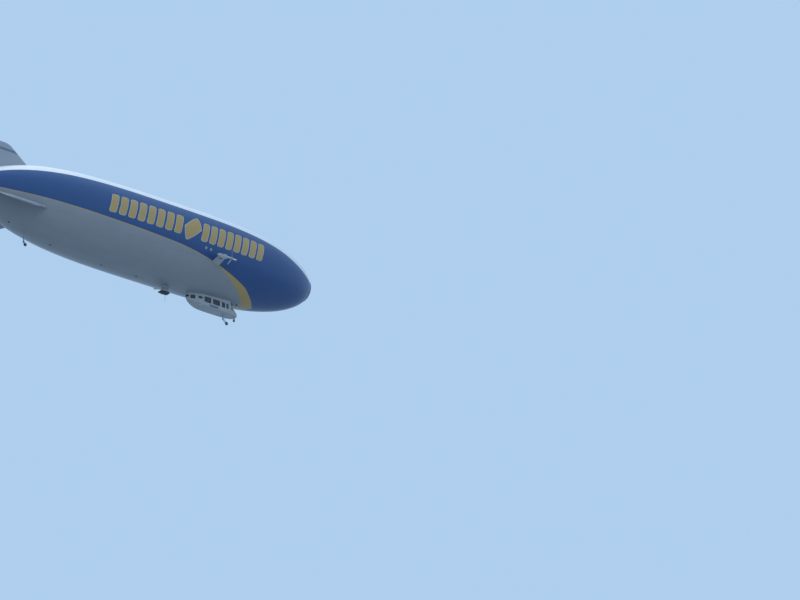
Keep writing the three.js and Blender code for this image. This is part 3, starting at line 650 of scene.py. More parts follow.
@dataclass(frozen=True)
class Cloth(Finish):
    """Woven seat cover with worn places."""

    threads: float = 55.0

    def build(self, graph: Graph) -> bpy.types.Material:
        """Make the cloth.

        Args:
            graph: The empty graph.

        Returns:
            The material.
        """
        place = graph.place()
        sizes = {"Vector": place, "Scale": self.threads, "Distortion": 0.6}
        warp, weft = (graph.node("TexWave", {"bands_direction": way}, sizes) for way in "YZ")
        weave = warp * 0.5 + weft * 0.5
        tone = weave * 0.4 + graph.noise(place, 5, 4) * 0.4
        return graph.finish(
            Base_Color=graph.blend(tone, self.shade(0.7), self.shade(1.35)),
            Roughness=self.roughness,
            Normal=graph.bump(weave, 0.002, 0.5),
            Sheen_Weight=0.3,
        )


@dataclass(frozen=True)
class Floor(Finish):
    """The plain pale floor, which lets a view from below through."""

    def build(self, graph: Graph) -> bpy.types.Material:
        """Make the floor's matt paint.

        Args:
            graph: The empty graph.

        Returns:
            The material.
        """
        matt = graph.node("BsdfDiffuse", inputs={"Color": self.colour, "Roughness": self.roughness})
        behind, clear = graph.node("NewGeometry", output="Backfacing"), graph.node("BsdfTransparent")
        return graph.show(graph.node("MixShader", inputs={0: behind, 1: matt, 2: clear}))


SILVER = HullFabric("hull_silver", (0.28, 0.292, 0.31), 0.42)
WHITE = HullFabric("hull_white", (0.80, 0.82, 0.84), 0.40)
BLUE = HullFabric("hull_blue", (0.016, 0.070, 0.21), 0.38, 0.18)
YELLOW = HullFabric("hull_yellow", (0.47, 0.315, 0.105), 0.42, 0.15)
FIN_CLOTH = HullFabric("fin_cloth", (0.31, 0.335, 0.38), 0.42, bay=NO_BAYS)
FIN_BAND = HullFabric("fin_band", (0.13, 0.165, 0.25), 0.42, bay=NO_BAYS)
# White shell paint darkened to mid grey: painted shade, standing for the cabin and pods in the hull's shadow.
SHELL_PAINTED_SHADE = Paint("shell_grey_painted_shade", (0.385, 0.395, 0.40), 0.36, 0.3)
NOSE_PAINT = Paint("nose_blue", (0.040, 0.120, 0.34), 0.34)
HEAD = Paint("head_grey", (0.42, 0.44, 0.46), 0.38, 0.2)
BLADE = Paint("blade_grey", (0.44, 0.47, 0.51), 0.34, 0.3, 0.1)
CONSOLE_PLASTIC = Paint("console_plastic", (0.035, 0.037, 0.042), 0.55, 0.05)
STRIPE = Paint("stripe_blue_grey", (0.10, 0.16, 0.26), 0.4)
STEEL = Metal("gear_steel", (0.50, 0.52, 0.55), 0.36)
DARK_METAL = Metal("dark_metal", (0.055, 0.06, 0.07), 0.48, 0.4)
ENGINE_METAL = Metal("engine_metal", (0.30, 0.31, 0.33), 0.5, 0.8)
TYRE = Rubber("tyre_rubber", (0.016, 0.016, 0.018), 0.78)
SEAL = Rubber("window_seal", (0.022, 0.024, 0.028), 0.6)
GLASS = Pane("cabin_glass", (0.018, 0.035, 0.055), 0.06)
LENS = Pane("lens_glass", (0.01, 0.012, 0.02), 0.03, 0.05)
SEAT_CLOTH = Cloth("seat_cloth", (0.05, 0.08, 0.17), 0.85)
FLOOR_PAINT = Floor("floor_paint", (0.62, 0.63, 0.64), 1.0)


def place_piece(
    name: str,
    shape: Shape,
    finishes: Sequence[Finish],
    slot: str,
    body: str = "hull",
    replaces: Sequence[str] = (),
    crease: float = 35.0,
    bevel: float = 0.0,
) -> None:
    """Make one piece of the airship and hang it on its body.

    Args:
        name: The piece's name.
        shape: Its mesh, in the model's frame.
        finishes: Its finishes, by number.
        slot: The record's material slot; not used.
        body: The body it rides on.
        replaces: The CAD nodes it stands for.
        crease: Edges sharper than this many degrees stay sharp.
        bevel: Width of the bevel on sharp edges, or 0.
    """
    mesh = shape.mesh(name)
    for finish in finishes:
        mesh.materials.append(finish.material())
    mesh.set_sharp_from_angle(angle=math.radians(crease))
    piece = bpy.data.objects.new(name, mesh)
    bpy.context.scene.collection.objects.link(piece)
    if bevel:
        edge = piece.modifiers.new("edges", "BEVEL")
        edge.width, edge.segments, edge.limit_method = bevel, BEVEL_STEPS, "ANGLE"
        edge.angle_limit, edge.harden_normals = math.radians(BEVEL_ANGLE), True
    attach(piece, body)
    if replaces:
        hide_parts(*replaces)
    LOG.info("%s: %d faces, on %s", name, len(mesh.polygons), body)


# ---- hull


@dataclass
class HullForm:
    """The envelope's outside as a smooth round body."""

    radius: float = 7.08
    widest: float = 31.5
    length: float = 72.0
    nose_powers: Pair = (3.2, 0.53)
    tail_powers: Pair = (3.9, 0.9)
    front: float = 0.25
    rear: float = 69.6
    gores: int = 24
    fullness: float = 0.0022
    smooth_nose: float = 6.0
    smooth_tail: float = 8.0

    def radius_at(self, station: float) -> float:
        """Find the hull's radius.

        Args:
            station: Metres behind the nose.

        Returns:
            The full-size radius there.
        """
        off = station - self.widest
        share, powers = -off / self.widest, self.nose_powers
        if off >= 0:
            share, powers = off / (self.length - self.widest), self.tail_powers
        return self.radius * (1 - share ** powers[0]) ** powers[1]

    def point(self, station: float, angle: float, lift: float = 0.0) -> Vector:
        """Return a place on the hull.

        Args:
            station: Metres behind the nose.
            angle: Degrees round from the belly, positive to starboard.
            lift: How far it stands off the hull, in model metres.

        Returns:
            The place in model metres.
        """
        turn = math.radians(angle)
        fade = min(1.0, station / self.smooth_nose, (self.length - station) / self.smooth_tail)
        full = self.fullness * fade * abs(math.sin(turn * self.gores / 2))
        radius = self.radius_at(station) * SCALE + lift + full
        return at(station) - radius * Vector((0, math.sin(turn), math.cos(turn)))

    def stand(self, station: float, angle: float) -> Matrix:
        """Return the frame of a place on the hull.

        Args:
            station: Metres behind the nose.
            angle: Degrees round from the belly, positive to starboard.

        Returns:
            The frame, with Z straight out and X forward.
        """
        here = self.point(station, angle)
        ahead = (self.point(station - 0.2, angle) - self.point(station + 0.2, angle)).normalized()
        out = ahead.cross(self.point(station, angle + 1) - self.point(station, angle - 1)).normalized()
        if out.yz.dot(here.yz) < 0:
            out.negate()
        turn = Matrix((ahead, out.cross(ahead).normalized(), out)).transposed().to_4x4()
        return Matrix.Translation(here) @ turn


HULL = HullForm()


@dataclass
class Livery:
    """Where the hull's colours meet; heights are degrees above the waterline."""

    blue_low: Curve = Curve((
        (11.6, -95.0), (12.43, -86.8), (13.74, -73.8), (14.99, -64.3), (16.21, -56.4), (17.43, -50.0),
        (19.23, -43.9), (21.31, -38.1), (24.0, -31.9), (26.4, -27.6), (28.6, -24.2), (30.8, -21.8),
        (33.0, -20.0), (37.2, -18.4), (41.3, -17.2), (45.4, -16.4), (53.2, -15.0), (60.4, -14.6),
        (66.5, -16.0), (69.6, -17.0),
    ))
    yellow_width: Curve = Curve((
        (11.6, 33.0), (14.59, 21.9), (15.26, 20.5), (16.72, 16.5), (18.02, 12.8), (19.38, 9.2),
        (20.75, 6.2), (22.6, 3.5), (24.5, 2.2), (27.0, 1.3), (30.0, 1.1), (69.6, 1.1),
    ))
    blue_top: Curve = Curve((
        (0.9, 2.0), (2.5, 7.0), (5.5, 17.5), (10.4, 30.0), (19.3, 36.0), (28.0, 37.8), (36.0, 38.8),
        (44.4, 39.3), (69.6, 39.5),
    ))

    def edges(self) -> list[tuple[Height, int, int]]:
        """List the edges, each cut into the tint that the ones before it left.

        Returns:
            For each edge the height above it, the tint it cuts and the tint above it.
        """
        return [
            (lambda s, h: h - self.blue_low(s) + self.yellow_width(s), 0, 3),
            (lambda s, h: h - self.blue_low(s), 3, 2),
            (lambda s, h: h - self.blue_top(s), 2, 1),
        ]


@dataclass
class Envelope:
    """The envelope with its colours, marks and small fittings."""

    rows: int = 150
    columns: int = 192
    lips: tuple[float, ...] = (0.0, 0.012, 0.024)
    mark_middle: float = 6.2
    mark_half: float = 13.8
    mark_lift: float = 0.003
    mark_lean: float = 0.035
    outline: float = 0.04
    per_metre: float = 8.09
    bar_rows: Pairs = ((15.2, 28.4), (32.7, 47.3))
    bars: int = 8
    bar_share: float = 0.72
    bar_corner: float = 0.34
    lozenge_station: float = 30.5
    lozenge_size: Pair = (1.7, 18.0)
    valves: Pairs = ((36.7, 1.4), (43.8, 0.0), (54.3, 1.1), (62.6, 1.0))
    patches: Pairs = ((27.61, -14.9), (26.58, -15.2))
    lamps: Pairs = ((16.5, 0.8), (15.75, 3.4))

    def skin(self) -> Shape:
        """Lay the sheet of faces and cut it along the livery's edges.

        Returns:
            The coloured skin.
        """
        span = HULL.rear - HULL.front
        stations = [HULL.front + span * (1 - math.cos(math.pi / 2 * t)) for t in spread(0, 1, self.rows)]
        angles = spread(-180, 180, self.columns)[:-1]
        places = [(s, a) for s in stations for a in angles]
        faces = Shape().skin([[HERE] * self.columns] * len(stations)).faces
        tints = [0] * len(faces)
        for above, old, new in Livery().edges():
            faces, tints = self._split(places, faces, tints, above, old, new)
        shape = Shape([HULL.point(s, a) for s, a in places], faces, tints)
        for station, out in ((HULL.front, -FORWARD), (HULL.rear, FORWARD)):
            shape.skin([[HULL.point(station, a, -lip) + out * lip for a in angles] for lip in self.lips], 2)
        return shape

    @staticmethod
    def _split(
        places: list[Pair], faces: list[Face], tints: list[int], above: Height, old: int, new: int
    ) -> tuple[list[Face], list[int]]:
        """Cut the faces of one tint along an edge and retint those above it.

        Args:
            places: Station and angle of each corner; cut corners are added.
            faces: The faces.
            tints: The tint of each face.
            above: The height of a station and waterline angle above the edge.
            old: The tint that is cut.
            new: The tint above the edge.

        Returns:
            The new faces and tints.
        """
        heights = [above(s, abs(a) - 90) for s, a in places]
        cuts: dict[Face, int] = {}
        done, marks = [], []

        def crossing(a: int, b: int) -> int:
            """Find the corner where the edge crosses between two corners.

            Args:
                a: The first corner.
                b: The second corner.

            Returns:
                The crossing's corner.
            """
            key = (min(a, b), max(a, b))
            if key not in cuts:
                share = heights[key[0]] / (heights[key[0]] - heights[key[1]])
                (s0, a0), (s1, a1) = places[key[0]], places[key[1]]
                if abs(a1 - a0) > 180:
                    a1 += 360 if a1 < a0 else -360
                places.append((s0 + (s1 - s0) * share, a0 + (a1 - a0) * share))
                heights.append(0.0)
                cuts[key] = len(places) - 1
            return cuts[key]

        for face, tint in zip(faces, tints, strict=True):
            signs = {heights[i] > 0 for i in face}
            if tint != old or len(signs) == 1:
                done.append(face)
                marks.append(new if tint == old and signs == {True} else tint)
                continue
            halves: dict[bool, list[int]] = {True: [], False: []}
            for a, b in zip(face, (*face[1:], face[0]), strict=True):
                halves[heights[a] > 0].append(a)
                if (heights[a] > 0) != (heights[b] > 0):
                    for half in halves.values():
                        half.append(crossing(a, b))
            done += [tuple(corners) for corners in halves.values()]
            marks += [new, old]
        return done, marks

    def _patch(self, columns: Sequence[Row], lean: float, side: Side, lift: float) -> Shape:
        """Lay a patch of cloth on the hull.

        Args:
            columns: Station and half height of each column, the height in degrees.
            lean: Metres forward for each degree above the marking's middle.
            side: The side it is on.
            lift: How far it stands off the hull, in model metres.

        Returns:
            The patch.
        """
        rings = [
            [
                HULL.point(station - lean * rise, -side.value * (self.mark_middle + rise + 90), lift)
                for rise in spread(-half, half, 14)
            ]
            for station, half in columns
        ]
        return Shape().skin(rings, closed=False)

    def _bar(self, front: float, rear: float, grow: float) -> list[Row]:
        """Return the columns of an upright bar with round corners.

        Args:
            front: The bar's front station.
            rear: The bar's rear station.
            grow: How far it is grown all round, in metres.

        Returns:
            Station and half height of each column.
        """
        front, rear, corner = front - grow, rear + grow, self.bar_corner + grow
        half = self.mark_half + grow * self.per_metre
        quarter = [(corner * (1 - c), half - corner * (1 - s) * self.per_metre) for c, s in arc(0, 90, 6)]
        return [*((front + x, h) for x, h in quarter), *((rear - x, h) for x, h in reversed(quarter))]

    def _lozenge(self, grow: float) -> list[Row]:
        """Return the columns of the lozenge.

        Args:
            grow: How far it is grown all round, in metres.

        Returns:
            Station and half height of each column.
        """
        long, high = self.lozenge_size
        long, high = long + grow * 1.4, high + grow * 1.6 * self.per_metre
        return [(self.lozenge_station + long * s, high * (1 - abs(s) ** 1.5)) for _, s in arc(-90, 90, 28)]

    def marks(self) -> Shape:
        """Make the row of plain bars and the lozenge between them, on both sides.

        Returns:
            The marking; tint 0 is the yellow cloth, 1 its pale outline.
        """
        made = Shape()
        for side in Side:
            for tint, grow, lift in ((1, self.outline, self.mark_lift), (0, 0.0, self.mark_lift * 1.7)):
                for front, rear in self.bar_rows:
                    pitch = (rear - front) / (self.bars - 1 + self.bar_share)
                    for foot in (front + pitch * i for i in range(self.bars)):
                        bar = self._bar(foot, foot + pitch * self.bar_share, grow)
                        made.join(self._patch(bar, self.mark_lean, side, lift), tint=tint)
                made.join(self._patch(self._lozenge(grow), self.mark_lean * 2, side, lift), tint=tint)
        return made

    def fittings(self) -> Shape:
        """Make the belly valves, the load patches and the belly lamps.

        Returns:
            The fittings; tint 0 is dark metal, 1 shell paint, 2 seal, 3 glass, 4 silver cloth.
        """
        made = Shape()
        ring = [(-0.05, 0.13), (0.012, 0.13), (0.018, 0.122), (0.018, 0.1), (0.004, 0.096)]
        dish = [(0.002, 0.097), (0.01, 0.06), (0.012, 0.02), (0.02, 0.018), (0.02, 0.001)]
        patch = [(-0.01, 0.11), (0.003, 0.11), (0.005, 0.1), (0.005, 0.035)]
        button = [(0.004, 0.036), (0.018, 0.03), (0.02, 0.012), (0.02, 0.001)]
        lamp = [(-0.02, 0.09), (0.015, 0.088), (0.02, 0.08)]
        dome = [(0.015, 0.082), (0.04, 0.075), (0.06, 0.05), (0.068, 0.02), (0.069, 0.0)]
        sided = [(s, -side.value * (height + 90)) for side in Side for s, height in self.patches]
        for places, below, above in (
            (self.valves, (ring, 40, 4), (dish, 40, 2)),
            (sided, (patch, 36, 1), (button, 24, 0)),
            (self.lamps, (lamp, 32, 2), (dome, 32, 3)),
        ):
            for place in places:
                for rows, sides, tint in (below, above):
                    made.join(lathe(rows, HERE, UP, sides, tint), HULL.stand(*place))
        return made

    def build(self) -> None:
        """Make the envelope's pieces."""
        skins = [SILVER, WHITE, BLUE, YELLOW]
        place_piece("hull_skin", self.skin(), skins, "envelope_fabric", replaces=["envelope"], crease=60)
        place_piece("band_marks", self.marks(), [YELLOW, WHITE], "envelope_fabric")
        place_piece("hull_fittings", self.fittings(), [DARK_METAL, SHELL_PAINTED_SHADE, SEAL, LENS, SILVER], "head_metal")


@dataclass
class Nose:
    """The nose cap, its lacing and the mooring spindle."""

    cap_tip: float = -0.06
    cap_end: float = 0.95
    thickness: float = 0.03
    lacing: float = 0.12
    eyelets: int = 24
    bolts: int = 8
    bolt_circle: float = 0.108

    def _cap_radius(self, station: float) -> float:
        """Return the cap's full-size radius at a station."""
        shown = max(station - self.cap_tip, 0)
        return HULL.radius_at(shown) + self.thickness * min(1, shown * 20)

    def build(self) -> None:
        """Make the cap and the spindle."""
        stations = [self.cap_tip + (self.cap_end - self.cap_tip) * t**2 for t in spread(0, 1, 24)]
        rows = [((self.cap_end - s) * SCALE, self._cap_radius(s) * SCALE) for s in reversed(stations)]
        rim = [(0.0, rows[0][1] - 0.012), (-0.002, rows[0][1] - 0.004), (0.002, rows[0][1])]
        cap = lathe([*rim, *rows[1:], (rows[-1][0], 0.0)], at(self.cap_end), FORWARD, 96)
        eyelet = lathe([(0.0, 0.02), (0.016, 0.02), (0.021, 0.012), (0.021, 0.0)], HERE, UP, 16)
        for angle in spread(0, 360, self.eyelets)[:-1]:
            cap.join(eyelet, HULL.stand(self.cap_end - self.lacing, angle), 1)
        place_piece("nose_dome", cap, [NOSE_PAINT, STEEL], "nose_paint", replaces=["nose_cap"])
        rows = [(0.0, 0.13), (0.012, 0.13), (0.016, 0.122), (0.05, 0.062), (0.06, 0.058), (0.075, 0.058)]
        rows += [(0.08, 0.048), (0.13, 0.045), (0.15, 0.045), (0.16, 0.052), (0.175, 0.052)]
        rows += [(0.183, 0.045), (0.2, 0.044), (0.214, 0.038), (0.22, 0.024), (0.22, 0.0)]
        face = at(self.cap_tip)
        spindle = lathe(rows, face, FORWARD, 48)
        for c, s in circle(self.bolts):
            foot = face + Vector((0.008, self.bolt_circle * c, self.bolt_circle * s))
            spindle.join(lathe([(0, 0.011), (0.012, 0.011), (0.014, 0.008), (0.014, 0)], foot, FORWARD, 6))
        place_piece("mooring_probe", spindle, [STEEL], "steel", replaces=["mooring_spindle"])


# ---- tail


@dataclass
class Fins:
    """Three fins with rudders, 120 degrees apart; radii are full-size metres from the axis."""

    tip: float = 8.74
    foot: float = 2.7
    root: float = 2.95
    thickness: Pair = (0.3, 0.62)
    rudder_tip: float = 8.7
    rudder_end: float = 69.25
    rudder_edge: float = 0.018
    hinge: float = 66.85
    hinge_half: float = 0.12
    hinge_radii: Pair = (4.6, 7.7)
    gap: float = 0.016
    clear: float = 0.11
    ribs: int = 16
    rib_heights: Pair = (0.010, 0.008)
    round_tip: float = 0.1
    band: Pair = (7.28, 7.72)
    band_shares: Pair = (0.77, 0.843)
    tip_share: float = 0.985
    lead: Curve = Curve((
        (2.7, 54.6), (5.6, 58.475), (8.2, 61.95), (8.42, 62.28), (8.6, 62.68), (8.7, 63.1), (8.74, 63.45),
    ))
    profile: Curve = Curve((
        (0.0, 0.0), (0.015, 0.36), (0.05, 0.62), (0.12, 0.85), (0.35, 1.0), (0.7, 0.9), (1.0, 0.78),
    ))
    cone: Curve = Curve(((69.0, 2.13), (69.6, 1.8)))

    def _half(self, radius: float) -> float:
        """Return half the fin's thickness at a radius."""
        thin, thick = self.thickness
        return (thin + (thick - thin) * (self.tip - radius) / (self.tip - self.foot)) / 2

    def _sag(self, share: float) -> float:
        """Return how far the cloth sags between the ribs at a share of the height, from 0 to 1."""
        return 0.5 - 0.5 * math.cos(2 * math.pi * self.ribs * share)

    def fin(self) -> Shape:
        """Make the top fin, with its ribs standing slightly proud.

        Returns:
            The fin.
        """
        back = self.hinge - self.hinge_half - self.gap
        low, high = spread(self.root, self.tip - 0.4, self.ribs * 6), spread(self.tip - 0.36, self.tip, 12)
        rings = []
        for radius in sorted([*low, *high, *self.band]):
            beyond = max(radius - (self.tip - self.round_tip), 0) / self.round_tip
            dome = math.sqrt(max(1 - beyond**2, 0.02))
            sag = self.rib_heights[0] * self._sag((radius - self.root) / (self.tip - self.root))
            front = self.lead(radius) + (1 - dome) * 0.12
            ring = []
            for along in (t**1.8 for t in spread(0, 1, 16)):
                wide = self.profile(along) * self._half(radius) * dome - sag * (1 - abs(2 * along - 1))
                wide = max(wide, 0.0) if along < 1 else self.hinge_half * dome
                ring.append((front + along * (back - front), wide))
            rings.append([at(s, y, radius) for s, y in (*ring, *((s, -y) for s, y in reversed(ring[1:])))])
        return self._banded(Shape().skin(rings, capped=True))

    def _banded(self, shape: Shape) -> Shape:
        """Give the faces in the plain band near the tip their own finish.

        Args:
            shape: The fin or rudder.

        Returns:
            The same shape.
        """
        for i, face in enumerate(shape.faces):
            height = sum(shape.points[k].z for k in face) / len(face) / SCALE
            if self.band[0] < height < self.band[1] and len(face) == 4:
                shape.tints[i] = 2
        return shape

    def _rudder_radius(self, station: float, share: float) -> float:
        """Return the radius at a share of the rudder's height, with the band's borders level.

        Args:
            station: Where on the rudder, whose foot follows the hull and the tail cone.
            share: 0 at the foot and 1 at the tip.

        Returns:
            The radius.
        """
        hull = HULL.radius_at(min(station, HULL.rear - 0.05))
        foot = max(hull, self.cone(station) if station > self.cone.rows[0][0] else 0.0) + self.clear
        shares, radii = (0.0, *self.band_shares, 1.0), (foot, *self.band, self.rudder_tip)
        i = next(k for k in range(3) if share <= shares[k + 1])
        return radii[i] + (radii[i + 1] - radii[i]) * (share - shares[i]) / (shares[i + 1] - shares[i])

    def rudder(self) -> Shape:
        """Make the top rudder, round at its hinge and thin at its back.

        Returns:
            The rudder.
        """
        half, long = self.hinge_half, self.rudder_end - self.hinge
        upper = [(self.hinge - half * s, half * c) for c, s in reversed(arc(0, 90, 6))]
        back = spread(0, 1, 12)[1:]
        upper += [(self.hinge + long * t, half * (1 - t) + self.rudder_edge * t) for t in back]
        outline = [(s, y, 1) for s, y in upper] + [(s, y, -1) for s, y in reversed(upper[1:])]
        rings = []
        for share in sorted([*spread(0, self.tip_share, self.ribs * 6), 0.995, 1.0, *self.band_shares]):
            beyond = max(share - self.tip_share, 0) / (1 - self.tip_share)
            dome, sag = math.sqrt(max(1 - beyond**2, 0.05)), self.rib_heights[1] * self._sag(share)
            ring = []
            for station, y, sign in outline:
                wide = max(y * dome - sag * max(1 - abs((station - 68.0) / 1.1), 0), 0.008)
                if station <= self.hinge - half + SPECK:
                    wide = 0.0
                ring.append(at(station, sign * wide, self._rudder_radius(station, share)))
            rings.append(ring)
        return self._banded(Shape().skin(rings, capped=True))

    def hinges(self) -> Shape:
        """Make the brackets and pins that the rudder turns on, and the fin's root strip.

        Returns:
            The hinges; tint 1 is steel, 3 shell paint.
        """
        made = Shape()
        for low, high in ((radius - 0.05, radius + 0.05) for radius in self.hinge_radii):
            bracket = block(at(self.hinge + 0.03, -0.045, low), at(self.hinge - 0.4, 0.045, high), 0.006)
            pin = rod(at(self.hinge, 0, low), at(self.hinge, 0, high), 0.03, 24)
            made.join(bracket, tint=1).join(pin, tint=1)
        for sign in SIGNS:
            radii = [(s, HULL.radius_at(s)) for s in spread(58.9, 66.6, 60)]
            path = [at(s, sign * (self._half(r) * 0.98 + 0.01), r + 0.012) for s, r in radii]
            made.join(tube(path, 0.02, 10), tint=3)
        return made

    def build(self) -> None:
        """Make the three fins and rudders."""
        fin, rudder = self.fin().join(self.hinges()), self.rudder()
        for word, angle in (("top", 0), ("port", -120), ("starboard", 120)):
            turn = Matrix.Rotation(math.radians(angle), 4, "X")
            skins = [FIN_CLOTH, STEEL, FIN_BAND, SHELL_PAINTED_SHADE]
            place_piece(f"fin_skin_{word}", fin.moved(turn), skins, "fin_fabric", replaces=[f"fin_{word}"])
            body = f"rudder_{word}"
            place_piece(f"rudder_skin_{word}", rudder.moved(turn), skins[:3], "fin_fabric", body, [body])


# ---- drives


@dataclass
class Screw:
    """A three-bladed propeller that turns about X, its hub's back face at x = 0; full-size metres.

    The rows are share of the radius, chord, thickness and twist in degrees.
    """

    radius: float = 1.35
    blades: int = 3
    hub_radius: float = 0.16
    hub_length: float = 0.22
    spinner: float = 0.26
    stand_off: float = 0.006
    rows: tuple[Row, ...] = (
        (0.08, 0.10, 0.085, 52), (0.16, 0.13, 0.080, 47), (0.30, 0.235, 0.055, 38), (0.45, 0.262, 0.044, 31),
        (0.60, 0.245, 0.034, 26), (0.75, 0.212, 0.028, 22), (0.88, 0.172, 0.021, 19),
        (0.96, 0.125, 0.016, 17.5), (0.99, 0.085, 0.012, 17), (1.0, 0.04, 0.008, 17),
    )

    def blade(self) -> Shape:
        """Make the upright blade.

        Returns:
            The blade.
        """
        chords, depths, turns = (Curve(tuple((r[0], r[i]) for r in self.rows)) for i in (1, 2, 3))
        stops = (0, 0.02, 0.08, 0.2, 0.4, 0.65, 0.85, 1)
        upper = [(t - 0.5, math.sqrt(t) * (1 - t) * 1.9 + 0.02) for t in stops]
        outline = both_sides(upper, -0.35)
        rings = []
        for share in [*spread(0.08, 0.9, 18), 0.94, 0.97, 0.985, 0.995, 1.0]:
            twist = Matrix.Rotation(-math.radians(turns(share)), 3, "Z")
            chord, depth = chords(share), depths(share) * 0.8
            middle = Vector((self.hub_length / 2, 0, share * self.radius))
            rings.append([(twist @ Vector((d * depth, -c * chord, 0)) + middle) * SCALE for c, d in outline])
        return Shape().skin(rings, capped=True)

    def shape(self) -> Shape:
        """Make the whole propeller.

        Returns:
            The propeller; tint 0 is the blades, 1 the hub and 2 dark metal.
        """
        r, length = self.hub_radius * SCALE, self.hub_length * SCALE
        rows = [(0.0, r * 0.55), (0.0, r * 0.9), (0.006, r), (length * 0.9, r)]
        rows += [(length * 0.94, r * 0.95), (length, r * 0.97)]
        for t in (0.15, 0.3, 0.45, 0.6, 0.75, 0.87, 0.95, 1.0):
            rows.append((length + self.spinner * SCALE * t, r * 0.97 * math.sqrt(1 - t**1.9)))
        made = lathe(rows, HERE, FORWARD, 40, 1)
        foot = Vector((length / 2, 0, r * 0.9))
        cuff = lathe([(0, 0.036), (0.012, 0.036), (0.02, 0.031), (0.03, 0.027)], foot, UP, 24)
        blade = self.blade()
        for i in range(self.blades):
            turn = Matrix.Rotation(2 * math.pi * i / self.blades, 4, "X")
            made.join(blade, turn, 0).join(cuff, turn, 2)
        return made

    def hang(self, word: str, back: Vector, degrees: float = 0.0) -> None:
        """Place the propeller.

        Args:
            word: Which drive it belongs to.
            back: Where the hub's seat is.
            degrees: How far its axis is turned from forward to port.
        """
        turn = Matrix.Rotation(math.radians(degrees), 4, "Z")
        place = Matrix.Translation(back + turn @ FORWARD * self.stand_off) @ turn
        body, skins = f"screw_{word}", [BLADE, HEAD, DARK_METAL]
        place_piece(body, self.shape().moved(place), skins, "blade_composite", body, [f"propeller_{word}"])


@dataclass
class TiltHead:
    """A tilting head that points along X from its pivot; full-size metres.

    The arm runs from the pivot to the propeller, and half is half the room between the cheeks.
    """

    arm: float
    half: float = 0.27
    cowl: tuple[Row, ...] = (
        (0.0, 0.208), (0.3, 0.204), (0.32, 0.198), (0.34, 0.203), (0.8, 0.184), (0.82, 0.177), (0.84, 0.182),
        (1.2, 0.158), (1.34, 0.15), (1.39, 0.138),
    )
    cowl_length: float = 1.42

    def shape(self) -> Shape:
        """Make the barrel between the cheeks, the cowl and the shafts.

        Returns:
            The head; tint 1 is bare metal.
        """
        wide = self.half - 0.014
        barrel = mirrored([(wide - 0.05, 0.238), (wide - 0.02, 0.225), (wide, 0.19)])
        made = lathe(barrel, HERE, PORT, 48, scale=SCALE)
        rows = [*self.cowl, (self.arm - 0.005, 0.105)]
        rows = [(a * self.arm / self.cowl_length, r) for a, r in rows]
        made.join(lathe(rows, HERE, FORWARD, 48, scale=SCALE))
        shafts = [(PORT * sign, self.half - 0.02, self.half + 0.06, 0.034, 24) for sign in SIGNS]
        shafts.append((FORWARD, self.arm - 0.05, self.arm + 0.1, 0.022, 20))
        for way, first, last, radius, sides in shafts:
            made.join(rod(way * (first * SCALE), way * (last * SCALE), radius, sides), tint=1)
        return made

    def hang(self, word: str, place: Matrix) -> None:
        """Place the head of one drive with its pivot at a place."""
        body, node = f"head_{word}", f"tilt_head_{word}"
        place_piece(body, self.shape().moved(place), [HEAD, STEEL], "head_metal", body, [node])


